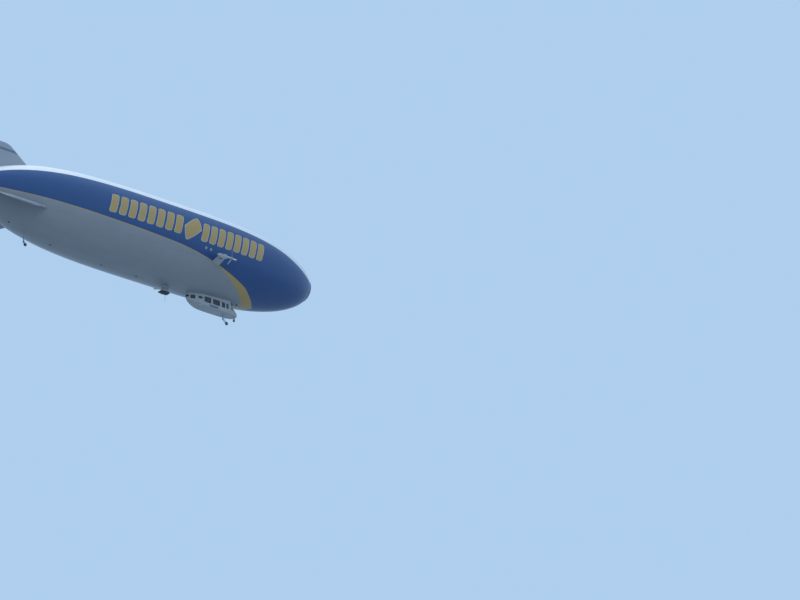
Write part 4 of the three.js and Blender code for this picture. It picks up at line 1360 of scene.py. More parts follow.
@dataclass
class SideDrives:
    """The two engine pods on the hull's sides; a root or tip is lead, trail, y and z."""

    y: float = 8.3
    z: float = -3.05
    pivot: float = 24.95
    front: float = 24.52
    length: float = 1.98
    head: TiltHead = field(default_factory=lambda: TiltHead(1.42))
    root: Row = (23.9, 25.8, 5.3, -3.72)
    tip: Row = (24.6, 26.1, 8.3, -3.13)
    fairing: Pair = (0.2, 0.89)
    seams: Pair = (1.04, 1.5)
    louvres: int = 6
    louvre_row: Pair = (0.88, 0.1)
    louvre_angle: float = 72
    exhaust: Pairs = ((25.5, 0.5), (25.58, 0.62), (25.75, 0.68), (26.1, 0.7))
    wide: Curve = Curve((
        (0.0, 0.2), (0.05, 0.26), (0.14, 0.32), (0.43, 0.395), (0.78, 0.41), (1.18, 0.38), (1.48, 0.32),
        (1.78, 0.2), (1.98, 0.03),
    ))
    above: Curve = Curve((
        (0.0, 0.18), (0.14, 0.24), (0.43, 0.27), (0.78, 0.29), (1.18, 0.27), (1.48, 0.22), (1.78, 0.13),
        (1.98, 0.03),
    ))
    below: Curve = Curve((
        (0.0, 0.26), (0.05, 0.36), (0.14, 0.44), (0.43, 0.54), (0.78, 0.58), (1.18, 0.53), (1.48, 0.43),
        (1.78, 0.25), (1.98, 0.03),
    ))
    flare: Curve = Curve((
        (0.2, 1.3), (0.28, 1.18), (0.34, 1.06), (0.42, 1.0), (0.75, 1.0), (0.84, 1.08), (0.89, 1.2),
    ))

    def _ring(self, behind: float, y: float, turns: list[Pair]) -> list[Vector]:
        """Return points of the pod's skin.

        Args:
            behind: Distance behind the pod's front.
            y: The pod's middle, in metres to port.
            turns: Cosine and sine of the angles from port, round by the top.

        Returns:
            The points.
        """
        wide, above, below = (curve(behind) for curve in (self.wide, self.above, self.below))
        station = self.front + behind
        return [at(station, y + wide * c, self.z + (above if s > 0 else below) * s) for c, s in turns]

    def _pod(self, y: float) -> Shape:
        """Make the pod with the slot that its head tilts in.

        Args:
            y: The pod's middle, in metres to port.

        Returns:
            The pod.
        """
        rings = [self._ring(self.length * t**1.5, y, circle(72)) for t in spread(0, 1, 32)]
        back, half, ahead = self.pivot + 0.27, self.head.half, 24.3
        low, high = self.z - 0.29, self.z + 0.7
        side = [(ahead, low), (back, low), (back, self.z), (self.pivot + 0.78, high), (ahead, high)]
        slot = prism([at(s, y - half, h) for s, h in side], PORT * (2 * half * SCALE))
        return cut(Shape().skin(rings, capped=True), [slot])

    def _trim(self, y: float) -> Shape:
        """Make the pod's louvres, exhaust, seams and pivot caps.

        Args:
            y: The pod's middle, in metres to port.

        Returns:
            The trim; tint 0 is dark metal, 1 the shell's paint, 2 steel.
        """
        made, louvre = Shape(), Vector((0.014, 0.008, 0.05))
        first, pitch = self.louvre_row
        for sign in SIGNS:
            turns = arc(90 - sign * self.louvre_angle, 90, 1)
            for i in range(self.louvres):
                middle = self._ring(first + i * pitch, y, turns)[0]
                made.join(block(middle - louvre, middle + louvre, 0.006))
            cap = at(self.pivot, y + sign * (self.wide(self.pivot - self.front) - 0.02), self.z)
            rows = [(0, 0.075), (0.014, 0.075), (0.02, 0.065), (0.022, 0.02), (0.022, 0)]
            made.join(lathe(rows, cap, PORT * sign, 32, 1))
            bolt = cap + PORT * (sign * 0.02)
            made.join(lathe([(0, 0.022), (0.012, 0.02), (0.014, 0.0)], bolt, PORT * sign, 6, 2))
        for behind in self.seams:
            made.join(tube(self._ring(behind, y, circle(72)), 0.005, 6, closed=True), tint=1)
        return made.join(tube([at(s, y, self.z - d) for s, d in self.exhaust], 0.026, 20))

    def _pylon(self, side: Side) -> Shape:
        """Make the fairing between hull and pod.

        Args:
            side: The side it is on.

        Returns:
            The fairing.
        """
        chord = [t**1.5 for t in spread(0, 1, 12)]
        upper = [(c, (1.48 * math.sqrt(c) * (1 - c) + 0.02) * 0.9) for c in chord]
        outline, rings = both_sides(upper), []
        for share in spread(*self.fairing, 28):
            lead, trail, y, z = (a + (b - a) * share for a, b in zip(self.root, self.tip, strict=True))
            lead += 0.16 * max((share - 0.78) / 0.11, 0) ** 2
            thick = 0.19 * self.flare(share)
            rings.append([at(lead + c * (trail - lead), side.value * y, z + d * thick) for c, d in outline])
        return Shape().skin(rings, capped=True)

    def build(self) -> None:
        """Make both pods, heads and propellers."""
        for side in Side:
            y, word = side.value * self.y, side.word
            shell = ([SHELL_PAINTED_SHADE], "white_shell")
            place_piece(f"pod_fairing_{word}", self._pylon(side), *shell, replaces=[f"pylon_{word}"])
            place_piece(f"pod_{word}", self._pod(y), *shell, replaces=[f"nacelle_{word}"], bevel=0.004)
            place_piece(f"pod_trim_{word}", self._trim(y), [DARK_METAL, SHELL_PAINTED_SHADE, STEEL], "head_metal")
            self.head.hang(word, Matrix.Translation(at(self.pivot, y, self.z)))
            Screw().hang(word, at(self.pivot - self.head.arm, y, self.z))


@dataclass
class Stern:
    """The tail cone, its tilting drive and the sideways thruster; full-size metres."""

    pivot: float = 73.2
    head: TiltHead = field(default_factory=lambda: TiltHead(1.1))
    thruster: float = 71.6
    thruster_arm: float = 1.75
    cheek: float = 0.08
    cheek_round: float = 0.22
    joints: tuple[float, ...] = (69.62, 71.0, 72.2)
    louvre_rows: tuple[float, ...] = (70.35, 70.51, 70.67)
    louvres: int = 10
    cone: Curve = Curve(((69.0, 2.16), (69.6, 1.82), (70.5, 1.42), (71.6, 1.0), (72.4, 0.68), (72.9, 0.42)))

    def _cone(self) -> Shape:
        """Make the cone with its joints, cheeks, caps and louvres.

        Returns:
            The cone; tint 1 is steel, 2 dark metal.
        """
        first = self.cone.rows[0][0]
        rows = [((s - first) * SCALE, self.cone(s) * SCALE) for s in spread(first, 72.86, 30)]
        made = lathe([*rows, (1.945, 0.2), (1.95, 0.17), (1.95, 0.0)], at(first), -FORWARD, 96)
        for station in self.joints:
            ring = [(-0.012, 0.002), (-0.01, 0.006), (0.008, 0.003), (0.012, -0.004)]
            rows = [(a, self.cone(station) * SCALE + r) for a, r in ring]
            made.join(lathe(rows, at(station), -FORWARD, 96, capped=False))
        for sign in SIGNS:
            edge = [(self.pivot + self.cheek_round * c, self.cheek_round * s) for c, s in arc(-90, 90, 12)]
            sides = [(72.3, 0.36), (72.3, -0.36), (72.8, -0.27), *edge, (72.8, 0.27)]
            inner = sign * self.head.half
            made.join(prism([at(s, inner, z) for s, z in sides], PORT * (sign * self.cheek * SCALE)))
            cap = at(self.pivot, inner + sign * 0.075)
            rows = [(0, 0.075), (0.01, 0.075), (0.016, 0.066), (0.018, 0.0)]
            made.join(lathe(rows, cap, PORT * sign, 32, 1))
        corner = Vector((0.014, 0.075, 0.008))
        louvre = block(-corner, corner, 0.005)
        for i in range(self.louvres):
            turn = Matrix.Rotation(-2 * math.pi * (i + 0.5) / self.louvres, 4, "X")
            for station in self.louvre_rows:
                lift = Matrix.Translation(UP * (self.cone(station) * SCALE))
                made.join(louvre, Matrix.Translation(at(station)) @ turn @ lift, 2)
        return made

    def build(self) -> None:
        """Make the cone, the stern drive and the thruster."""
        skins = [SHELL_PAINTED_SHADE, STEEL, DARK_METAL]
        place_piece("stern_cone", self._cone(), skins, "white_shell", replaces=["tail_cone"])
        self.head.hang("stern", Matrix.Translation(at(self.pivot)) @ Matrix.Rotation(math.pi, 4, "Z"))
        Screw().hang("stern", at(self.pivot + self.head.arm), 180)
        rows = [(0.0, 0.2), (0.1, 0.17), (0.16, 0.15), (0.3, 0.125)]
        rows += [(0.45, 0.11), (0.55, 0.1), (0.57, 0.09), (0.575, 0.05)]
        mount = lathe(rows, at(self.thruster, 0.6), PORT, 48)
        end = self.thruster_arm
        mount.join(rod(at(self.thruster, end - 0.05), at(self.thruster, end + 0.1), 0.022), tint=1)
        place_piece("thruster_stalk", mount, [SHELL_PAINTED_SHADE, STEEL], "white_shell", replaces=["thruster_mount"])
        Screw(radius=1.1).hang("thruster", at(self.thruster, end), 90)


# ---- cabin


@dataclass
class CabinForm:
    """The cabin's outside; rows are station, half width, bottom, top, lower and upper corner radius."""

    rows: tuple[Row, ...] = (
        (15.62, 0.2, -8.76, -8.31, 0.07, 0.16), (15.7, 0.38, -8.85, -8.27, 0.13, 0.28),
        (15.93, 0.58, -8.93, -8.16, 0.2, 0.3), (16.3, 0.78, -8.977, -7.98, 0.26, 0.35),
        (16.78, 0.96, -8.996, -7.74, 0.32, 0.35), (17.2, 1.08, -9.0, -7.5, 0.36, 0.3),
        (17.5, 1.13, -9.0, -7.27, 0.37, 0.2), (17.62, 1.15, -9.0, -7.2, 0.38, 0.06),
        (21.5, 1.15, -9.0, -7.2, 0.38, 0.06), (22.6, 1.15, -8.96, -7.2, 0.38, 0.06),
        (23.5, 1.13, -8.87, -7.2, 0.38, 0.06), (24.2, 1.0, -8.74, -7.2, 0.36, 0.06),
        (24.8, 0.84, -8.6, -7.2, 0.32, 0.06), (25.3, 0.64, -8.43, -7.2, 0.28, 0.06),
        (25.7, 0.44, -8.25, -7.2, 0.22, 0.06), (26.05, 0.2, -8.05, -7.2, 0.14, 0.06),
    )
    sill: Curve = Curve((
        (15.0, -8.75), (15.6, -8.61), (16.2, -8.47), (16.85, -8.16), (17.1, -8.13), (17.6, -8.13),
    ))
    screen_end: float = 17.55

    def sizes(self, station: float) -> tuple[float, ...]:
        """Return half width, bottom, top and both corner radii at a station."""
        return tuple(Curve(tuple((r[0], r[i]) for r in self.rows))(station) for i in range(1, 6))

    def ring(self, station: float, inset: float = 0.0) -> list[Vector]:
        """Return the closed section at a station.

        Args:
            station: Where the section is.
            inset: How far it is taken in, in metres.

        Returns:
            The section's corners, from the top's middle round by starboard.
        """
        half, bottom, top, corner, upper = self.sizes(station)
        half, bottom, top = half - inset, bottom + inset, top - inset
        corner = max(min(corner - inset, half * 0.95), 0.02)
        upper = max(min(upper - inset, half * 0.8), 0.015)
        low, high = bottom + corner, top - upper
        sides = [(half - upper + upper * s, high + upper * c) for c, s in arc(0, 90, 5)]
        sides += [(half, high + (low - high) * t) for t in (0.2, 0.4, 0.6, 0.8)]
        sides += [(half - corner + corner * c, low - corner * s) for c, s in arc(0, 90, 7)]
        run = [(0.0, top), (sides[0][0] * 0.5, top), *sides, (sides[-1][0] * 0.5, bottom), (0.0, bottom)]
        return [at(station, -y, z) for y, z in run] + [at(station, y, z) for y, z in reversed(run[1:-1])]

    def side_y(self, station: float, z: float) -> float:
        """Find the half width of the side wall.

        Args:
            station: Where it is wanted.
            z: The height of the place.

        Returns:
            The half width in metres.
        """
        half, bottom, _, corner, _ = self.sizes(station)
        drop = min(max((bottom + corner - z) / corner, 0), 1)
        return half - corner * (1 - math.sqrt(1 - drop**2))

    def on_side(self, side: float, station: float, z: float, lift: float = 0.0) -> Vector:
        """Return a place on the side wall, lifted off it by some full-size metres."""
        return at(station, side * (self.side_y(station, z) + lift), z)

    def loft(self, inset: float = 0.0) -> Shape:
        """Make the closed body.

        Args:
            inset: How far it is taken in, in metres.

        Returns:
            The body.
        """
        first, last = self.rows[0][0] + inset, self.rows[-1][0] - inset
        stations = [first + (last - first) * (0.5 - 0.5 * math.cos(math.pi * t)) for t in spread(0, 1, 64)]
        return Shape().skin([self.ring(s, inset) for s in stations], capped=True)

    def screen_zone(self, rear: float, lift: float) -> Shape:
        """Return the zone above the windscreen's sloping sill.

        Args:
            rear: The zone's rear station.
            lift: How far the sill is raised, in metres.

        Returns:
            The zone, as wide as the cabin and more.
        """
        edge = [at(s, -2, self.sill(s) + lift) for s in spread(15.0, rear, 24)]
        return prism([*edge, at(rear, -2, -6), at(15.0, -2, -6)], PORT * 2)


def window_outline(front: float, rear: float, low: float, high: float, corner: float = 0.1) -> list[Row]:
    """Return a rounded window as station and height.

    Args:
        front: Its front station.
        rear: Its rear station.
        low: Its lower edge.
        high: Its upper edge.
        corner: The radius of its corners.

    Returns:
        The outline's corners.
    """
    front, rear, low, high = front + corner, rear - corner, low + corner, high - corner
    middles = ((rear, high, 0), (front, high, 90), (front, low, 180), (rear, low, 270))
    return [(x + corner * c, z + corner * s) for x, z, start in middles for c, s in arc(start, start + 90, 5)]


@dataclass
class Cabin:
    """The passenger cabin with its windows, door, seats and fairing; a window is front, rear, low, high."""

    form: CabinForm = field(default_factory=CabinForm)
    wall: float = 0.06
    windows: tuple[Row, ...] = (
        (18.1, 18.52, -8.2, -7.4), (18.85, 19.5, -8.2, -7.36), (19.95, 21.35, -8.18, -7.32),
        (21.8, 23.15, -8.2, -7.32), (24.88, 25.6, -8.04, -7.45),
    )
    port_window: Row = (23.6, 24.5, -8.16, -7.32)
    rear_window: Row = (25.84, 28.0, -7.8, -7.42)
    door: Row = (23.5, 24.5, -8.53, -7.32)
    door_window: Row = (23.62, 24.3, -7.84, -7.46)
    door_gap: float = 0.012
    pin: Pair = (23.44, -1.19)
    hinge_heights: Pair = (-7.7, -8.3)
    floor_top: float = -8.84
    floor_thickness: float = 0.03
    floor_gap: float = 0.03
    pane_inset: float = 0.035
    pane_lap: float = 0.04
    pane_thickness: float = 0.012
    seal_radius: float = 0.011
    door_seal_radius: float = 0.009
    seal_lift: float = 0.004
    stripe: Row = (20.28, 22.08, -8.78, -8.42)
    stripe_lift: float = 0.02
    step: Row = (23.6, -0.85, -8.9)
    seam_corners: Face = (0, 7, 41)
    belt: float = -8.62
    roof: float = -7.22
    row_front: float = 18.6
    row_pitch: float = 0.72
    row_seats: int = 6
    row_y: float = 0.74
    seat_width: float = 0.46
    pilot_front: float = 17.7
    pilot_y: float = 0.45
    pilot_width: float = 0.5
    seat_lean: float = 10
    desk_half: float = 0.6
    desk: Pairs = (
        (16.84, -8.83), (17.12, -8.83), (17.12, -8.3), (16.96, -8.15), (16.84, -8.15),
    )
    fairing_width: Curve = Curve((
        (17.3, 0.35), (17.4, 0.8), (17.6, 1.06), (18.2, 1.12), (23.0, 1.12), (23.5, 1.1), (24.2, 0.97),
        (24.8, 0.81), (25.3, 0.61), (25.7, 0.41), (26.1, 0.12),
    ))
    fairing_depth: Curve = Curve((
        (17.3, 0.0), (17.42, 0.7), (17.6, 1.0), (25.4, 1.0), (25.9, 0.75), (26.1, 0.0),
    ))
    fairing_section: Pairs = (
        (0.0, 1), (0.5, 1), (0.9, 1), (0.97, 0.97), (1.0, 0.85), (1.0, 0.5), (1.01, 0.3), (1.03, 0.15),
        (1.07, 0.05), (1.12, -0.05),
    )

    def _windows(self, side: Side) -> tuple[Row, ...]:
        """Return the windows of one side."""
        return (*self.windows, self.port_window) if side is Side.PORT else self.windows

    def _opening(self, row: Row, side: Side) -> Shape:
        """Return a cutter for a window on one side."""
        outline = [at(s, side.value * 0.25, z) for s, z in window_outline(*row)]
        return prism(outline, PORT * (side.value * 0.65))

    def _slab(self, row: Row, shrink: float = 0.0, y0: float = -2.0, y1: float = 2.0) -> Shape:
        """Return a plain box between stations and heights.

        Args:
            row: Its front, rear, low and high sides.
            shrink: How far those are taken in.
            y0: Its starboard side.
            y1: Its port side.

        Returns:
            The box.
        """
        front, rear, low, high = row
        front, rear, low, high = front + shrink, rear - shrink, low + shrink, high - shrink
        corners = [at(s, y, low) for s, y in ((rear, y0), (front, y0), (front, y1), (rear, y1))]
        return prism(corners, UP * ((high - low) * SCALE))

    def _frame(self, row: Row, side: Side, radius: float) -> Shape:
        """Return the rubber seal round a window."""
        path = [self.form.on_side(side.value, s, z, self.seal_lift) for s, z in window_outline(*row)]
        return tube(path, radius, closed=True)

    def _pane(self, row: Row, side: Side) -> Shape:
        """Return a window's glass, just inside its opening.

        Args:
            row: The window.
            side: The side it is on.

        Returns:
            The glass.
        """
        (front, rear, low, high), lap = row, self.pane_lap
        rings = [
            [self.form.on_side(side.value, s, z, -self.pane_inset) for z in spread(low - lap, high + lap, 6)]
            for s in spread(front - lap, rear + lap, 8)
        ]
        inward = PORT * (-side.value * self.pane_thickness * SCALE)
        sheets = [rings, [[p + inward for p in ring] for ring in rings]]
        rims, made = [], Shape()
        for sheet in sheets:
            made.skin(sheet, closed=False)
            upper, lower = [ring[-1] for ring in sheet[1:]], [ring[0] for ring in sheet[1:-1]]
            rims.append([*sheet[0], *upper, *reversed(sheet[-1][:-1]), *reversed(lower)])
        return made.skin(rims)

    def build(self) -> None:
        """Make the cabin's pieces."""
        form, glass = self.form, ([GLASS], "window_glass")
        thick = cut(form.loft(), [form.loft(self.wall)])
        openings = [self._opening(row, side) for side in Side for row in self._windows(side)]
        holes = [form.screen_zone(form.screen_end, 0.0), self._slab(self.rear_window)]
        shell = cut(thick, [*holes, self._slab(self.door, y1=0.0), *openings]).join(self._floor())
        nodes = [f"gondola_{part}" for part in ("floor", "nose", "tail", "wall_port", "wall_starboard")]
        place_piece("cabin_shell", shell, [SHELL_PAINTED_SHADE], "white_shell", replaces=nodes, bevel=0.003)
        place_piece("cabin_fairing", self._fairing(), [SHELL_PAINTED_SHADE], "white_shell", replaces=["gondola_roof"])
        place_piece("cabin_trim", self._trim(), [SEAL, SHELL_PAINTED_SHADE, STRIPE, STEEL], "white_shell")
        screen = cut(thick, [form.screen_zone(form.screen_end - 0.01, 0.01)], "INTERSECT")
        place_piece("front_screen", screen, *glass, replaces=["windscreen"], crease=50)
        tail_glass = cut(thick, [self._slab(self.rear_window, 0.01)], "INTERSECT")
        place_piece("rear_screen", tail_glass, *glass, replaces=["glazing_rear"], crease=50)
        for side in Side:
            panes = Shape()
            for row in self._windows(side):
                panes.join(self._pane(row, side))
            place_piece(f"panes_{side.word}", panes, *glass, replaces=[f"glazing_{side.word}"], crease=40)
        self._door(thick)
        self._seats()

    def _floor(self) -> Shape:
        """Make the cabin's floor panel.

        Returns:
            The panel.
        """
        rings, high, low = [], self.floor_top, self.floor_top - self.floor_thickness
        for s in spread(16.0, 23.3, 20):
            half = self.form.side_y(s, high) - self.floor_gap
            rings.append([at(s, y, z) for y, z in ((-half, high), (half, high), (half, low), (-half, low))])
        return Shape().skin(rings, capped=True)

    def _fairing(self) -> Shape:
        """Make the fairing that joins the cabin to the belly.

        Returns:
            The fairing.
        """
        rings = []
        for s in spread(17.3, 26.1, 90):
            radius, half = HULL.radius_at(s), max(self.fairing_width(s), 0.05)
            belly = 0.06 - radius
            low = belly + (self.roof - belly) * min(max(self.fairing_depth(s), 0), 1)
            ring = []
            for y, t in self.fairing_section:
                side = 0.03 - math.sqrt(radius**2 - (half * y) ** 2)
                ring.append((half * y, low * t + side * (1 - t)))
            starboard, port = [at(s, -y, z) for y, z in ring], [at(s, y, z) for y, z in reversed(ring[1:])]
            rings.append([*starboard, at(s, 0, 0.5 - radius), *port])
        return Shape().skin(rings, capped=True)

    def _trim(self) -> Shape:
        """Make seals, pillars, seams, the step and the plain side stripe.

        Returns:
            The trim; tint 0 is seal rubber, 1 shell paint, 2 the stripe, 3 steel.
        """
        made, form, end = Shape(), self.form, self.form.screen_end
        front, rear, low, high = self.stripe
        for side in Side:
            for row in self._windows(side):
                made.join(self._frame(row, side, self.seal_radius))
            stripe = [
                [form.on_side(side.value, s, z, self.stripe_lift) for z in spread(low, high, 6)]
                for s in spread(front, rear, 24)
            ]
            made.skin(stripe, 2, closed=False)
            belt = [form.on_side(side.value, s, self.belt, 0.002) for s in spread(16.6, 23.4, 40)]
            made.join(tube(belt, 0.006), tint=1)
        step = at(*self.step)
        made.join(block(step - Vector((0.34, 0.06, 0.0)), step + Vector((0.0, 0.05, 0.05)), 0.006), tint=3)
        for corner in self.seam_corners:
            made.join(tube([form.ring(s)[corner] for s in spread(15.64, end, 20)], 0.016), tint=1)
        brow = [p for p in form.ring(end) if p.z > form.sill(end) * SCALE]
        starboard, port = [p for p in brow if p.y <= 0], [p for p in brow if p.y > 0]
        made.join(tube([*reversed(starboard), *reversed(port)], 0.018), tint=1)
        sills = [[form.on_side(sign, s, form.sill(s)) for s in spread(15.66, end, 24)] for sign in SIGNS]
        return made.join(tube([*reversed(sills[0]), *sills[1]], 0.012))

    def _door(self, thick: Shape) -> None:
        """Make the door with its window, seal, handle and hinges.

        Args:
            thick: The cabin's hollow body, which the door is cut from.
        """
        window, side = self.door_window, Side.STARBOARD
        leaf = cut(thick, [self._slab(self.door, self.door_gap, y1=-0.5)], "INTERSECT")
        leaf = cut(leaf, [self._opening(window, side)])
        leaf.join(self._frame(window, side, self.door_seal_radius), tint=1)
        skin = -self.form.side_y(24.36, -8.2)
        grip = [at(24.36, skin - out, z) for out, z in ((0, -8.12), (0.04, -8.12), (0.04, -8.3), (0, -8.3))]
        leaf.join(tube(grip, 0.007), tint=2)
        pin, y = self.pin
        brackets = Shape()
        for z in self.hinge_heights:
            low, high = z + 0.004, z + 0.06
            leaf.join(rod(at(pin, y, low), at(pin, y, high), 0.012), tint=2)
            for near, far in (((23.6, y - 0.012), (pin, y + 0.012)), ((23.6, y - 0.012), (23.53, -1.09))):
                leaf.join(block(at(*near, low), at(*far, high), 0.002), tint=2)
            brackets.join(block(at(pin + 0.03, y - 0.02, z - 0.05), at(pin - 0.04, -1.1, z - 0.004), 0.003))
            brackets.join(rod(at(pin, y, z - 0.04), at(pin, y, z + 0.075), 0.006))
        skins, pane = [SHELL_PAINTED_SHADE, SEAL, STEEL], self._pane(window, side)
        place_piece("door_leaf", leaf, skins, "white_shell", "cabin_door", ["door"], bevel=0.002)
        place_piece("door_pane", pane, [GLASS], "window_glass", "cabin_door", ["door_window"], crease=40)
        place_piece("door_brackets", brackets, [STEEL], "steel")

    def _seat(self, station: float, y: float, width: float) -> Shape:
        """Make one seat.

        Args:
            station: The front of its cushion.
            y: Its middle, in metres to port.
            width: Its width.

        Returns:
            The seat; tint 1 is its frame.
        """
        half, foot = width / 2, at(station)
        made = block(at(station + 0.48, y - half, -8.53), at(station, y + half, -8.39), 0.03, 4)
        back = block(at(station + 0.11, y - half, 0.0), at(station, y + half, 0.56), 0.028, 4)
        lean = Matrix.Rotation(-math.radians(self.seat_lean), 4, "Y") @ Matrix.Translation(-foot)
        made.join(back, Matrix.Translation(at(station + 0.43, 0, -8.42)) @ lean)
        for sign in SIGNS:
            leg = y + sign * half * 0.7
            low, high = at(station + 0.4, leg - 0.02, -8.83), at(station + 0.15, leg + 0.02, -8.52)
            made.join(block(low, high, 0.004), tint=1)
        return made

    def _seats(self) -> None:
        """Make the passengers' and pilots' seats and the console."""
        skins = ([SEAT_CLOTH, STEEL], "seat_cloth")
        for side in Side:
            row = Shape()
            for i in range(self.row_seats):
                place = self.row_front + self.row_pitch * i
                row.join(self._seat(place, side.value * self.row_y, self.seat_width))
            place_piece(f"seat_row_{side.word}", row, *skins, replaces=[f"seats_{side.word}"])
        pilots = Shape()
        for sign in SIGNS:
            pilots.join(self._seat(self.pilot_front, sign * self.pilot_y, self.pilot_width))
        place_piece("pilot_chairs", pilots, *skins, replaces=["pilot_seats"])
        desk = prism([at(s, -self.desk_half, z) for s, z in self.desk], PORT * (2 * self.desk_half * SCALE))
        skins = [CONSOLE_PLASTIC]
        place_piece("control_desk", desk, skins, "console_plastic", replaces=["console"], bevel=0.01)


# ---- gear and belly


@dataclass
class Caster:
    """A landing wheel on a swivelling fork; full-size metres."""

    word: str
    station: float
    top: float
    crown: float
    axle_station: float
    axle_z: float
    radius: float = 0.28
    half: float = 0.1
    cheek: float = 0.035
    bolts: int = 6
    bolt_circle: float = 0.047
    groove: float = -0.012

    def _tyre(self) -> Shape:
        """Make the tyre with its grooves.

        Returns:
            The tyre.
        """
        r, h, deep = self.radius, self.half, self.groove
        tread = [(0.04, deep), (0.06, 0.001), (0.32, 0), (0.34, deep), (0.4, deep), (0.42, 0), (0.5, 0)]
        wall = [(0.62, r - 0.006), (0.85, r - 0.028), (0.99, r - 0.06)]
        wall += [(1.0, 0.2), (0.95, 0.17), (0.72, 0.152)]
        rows = mirrored([*((a * h * 1.1, r - 0.002 + d) for a, d in tread), *((a * h, b) for a, b in wall)])
        return self._wheel([*rows, rows[0]], 64)

    def _wheel(self, rows: Sequence[Row], sides: int) -> Shape:
        """Return a ring round the axle."""
        return lathe(rows, at(self.axle_station, 0, self.axle_z), PORT, sides, capped=False, scale=SCALE)

    def _hub(self) -> Shape:
        """Make the wheel's hub with its bolts.

        Returns:
            The hub.
        """
        half = [(0.075, 0.149), (0.065, 0.135), (0.045, 0.115), (0.055, 0.075), (0.08, 0.06), (0.08, 0.034)]
        made = self._wheel([*mirrored(half), (-0.08, 0.034)], 48)
        for c, s in circle(self.bolts):
            for sign in SIGNS:
                spot = Vector((self.bolt_circle * c, sign * 0.022, self.bolt_circle * s))
                foot = at(self.axle_station, 0, self.axle_z) + spot
                made.join(lathe([(0, 0.006), (0.008, 0.006), (0.009, 0.0)], foot, PORT * sign, 6))
        return made

    def _fork(self) -> Shape:
        """Make the fork with its axle.

        Returns:
            The fork.
        """
        inner, outer = self.half + 0.02, self.half + 0.02 + self.cheek
        s, crown, axle, z = self.station, self.crown, self.axle_station, self.axle_z
        made = block(at(s + 0.085, -outer, crown - 0.06), at(s - 0.085, outer, crown + 0.046), 0.01, 3)
        edge = [(axle + 0.06 * sin, z - 0.06 * cos) for cos, sin in arc(-90, 90, 8)]
        outline = [(s - 0.08, crown - 0.02), *edge, (s + 0.08, crown - 0.02)]
        for sign in SIGNS:
            made.join(prism([at(x, sign * inner, h) for x, h in outline], PORT * (sign * self.cheek * SCALE)))
            cap = at(axle, sign * (outer - 0.005), z)
            made.join(lathe([(0, 0.02), (0.008, 0.02), (0.01, 0.016), (0.01, 0)], cap, PORT * sign, 6))
        return made.join(rod(at(axle, -inner, z), at(axle, inner, z), 0.0145))

    def _leg(self) -> Shape:
        """Make the leg with its brace, its lower rod, pin and collar.

        Returns:
            The leg; tint 1 is steel.
        """
        s, top, crown = self.station, self.top, self.crown
        start, length = at(s, 0, top + 0.25), (top + 0.25 - crown - 0.06) * SCALE
        upper = [(0.0, 0.045), (0.45, 0.045), (0.47, 0.05), (0.52, 0.05), (0.54, 0.03)]
        lower = [(0.54, 0.03), (0.9, 0.03), (0.92, 0.0375), (1.0, 0.0375), (1 + 0.001 / length, 0.02)]
        made = Shape()
        for tint, rows in enumerate((upper, lower)):
            made.join(lathe([(length * a, r) for a, r in rows], start, -UP, 32, tint))
        made.join(rod(at(s, 0, crown + 0.1), at(s, 0, crown - 0.06), 0.019), tint=1)
        made.join(rod(at(s + 0.42, 0, top + 0.28), at(s + 0.03, 0, crown + 0.24), 0.014))
        collar = [(-0.02, 0.044), (-0.016, 0.048), (0.016, 0.048), (0.02, 0.044)]
        return made.join(lathe(collar, at(s + 0.02, 0, crown + 0.24), -UP, 32, 1))

    def build(self) -> None:
        """Make the leg, fork and wheel."""
        word, wheel = self.word, f"{self.word}_wheel"
        place_piece(f"{word}_strut", self._leg(), [SHELL_PAINTED_SHADE, STEEL], "steel", replaces=[f"{word}_leg"])
        fork = (f"{word}_caster", [f"{word}_fork"])
        place_piece(f"{word}_caster_fork", self._fork(), [DARK_METAL], "steel", *fork, bevel=0.002)
        place_piece(f"{wheel}_hub", self._hub(), [STEEL], "head_metal", wheel, [f"{word}_hub"])
        place_piece(f"{wheel}_tyre", self._tyre(), [TYRE], "tyre_rubber", wheel, [f"{word}_tyre"])


@dataclass
class CameraTurret:
    """The camera ball under the cabin's nose; full-size metres."""

    station: float = 15.95
    post_top: float = -8.75
    post_end: float = -9.1
    z: float = -9.42
    ball: float = 0.17
    arm: float = 0.036
    gap: float = 0.014

    def build(self) -> None:
        """Make the post, yoke and ball."""
        s, end = self.station, self.post_end
        length = (self.post_top - end) * SCALE
        rows = [(0.0, 0.07), (0.3, 0.06), (0.5, 0.042), (0.95, 0.04), (1.0, 0.036)]
        post = lathe([(length * a, r) for a, r in rows], at(s, 0, self.post_top), -UP, 36)
        post.join(rod(at(s, 0, end + 0.02), at(s, 0, end - 0.05), 0.014))
        place_piece("turret_post", post, [HEAD], "head_metal", replaces=["camera_post"])
        inner, low = self.ball + self.gap, self.z + self.ball + self.gap
        outer = inner + self.arm
        yoke = block(at(s + 0.1, -outer, low), at(s - 0.1, outer, end - self.gap), 0.006, 3)
        for sign in SIGNS:
            foot, head = at(s + 0.05, sign * inner, self.z - 0.05), at(s - 0.05, sign * outer, low + 0.01)
            yoke.join(block(foot, head, 0.005, 3))
        place_piece("turret_yoke", yoke, [HEAD], "head_metal", "camera_pan", ["camera_yoke"])
        r, middle, pin = self.ball * SCALE, at(s, 0, self.z), PORT * (inner * SCALE + 0.01)
        ball = lathe([(-r * c, r * s) for c, s in arc(0, 180, 24)], middle, FORWARD, 48)
        rim = [(r - 0.012, 0.045), (r + 0.001, 0.043), (r + 0.001, 0.036), (r - 0.006, 0.034)]
        lens = [(r - 0.01, 0.035), (r - 0.004, 0.03), (r - 0.001, 0.015), (r, 0.0)]
        for tint, rows in ((1, rim), (2, lens)):
            ball.join(lathe(rows, middle, FORWARD, 36, tint))
        ball.join(rod(middle - pin, middle + pin, 0.011))
        skins = [CONSOLE_PLASTIC, STEEL, LENS]
        place_piece("turret_ball", ball, skins, "console_plastic", "camera_ball", ["camera_ball"])


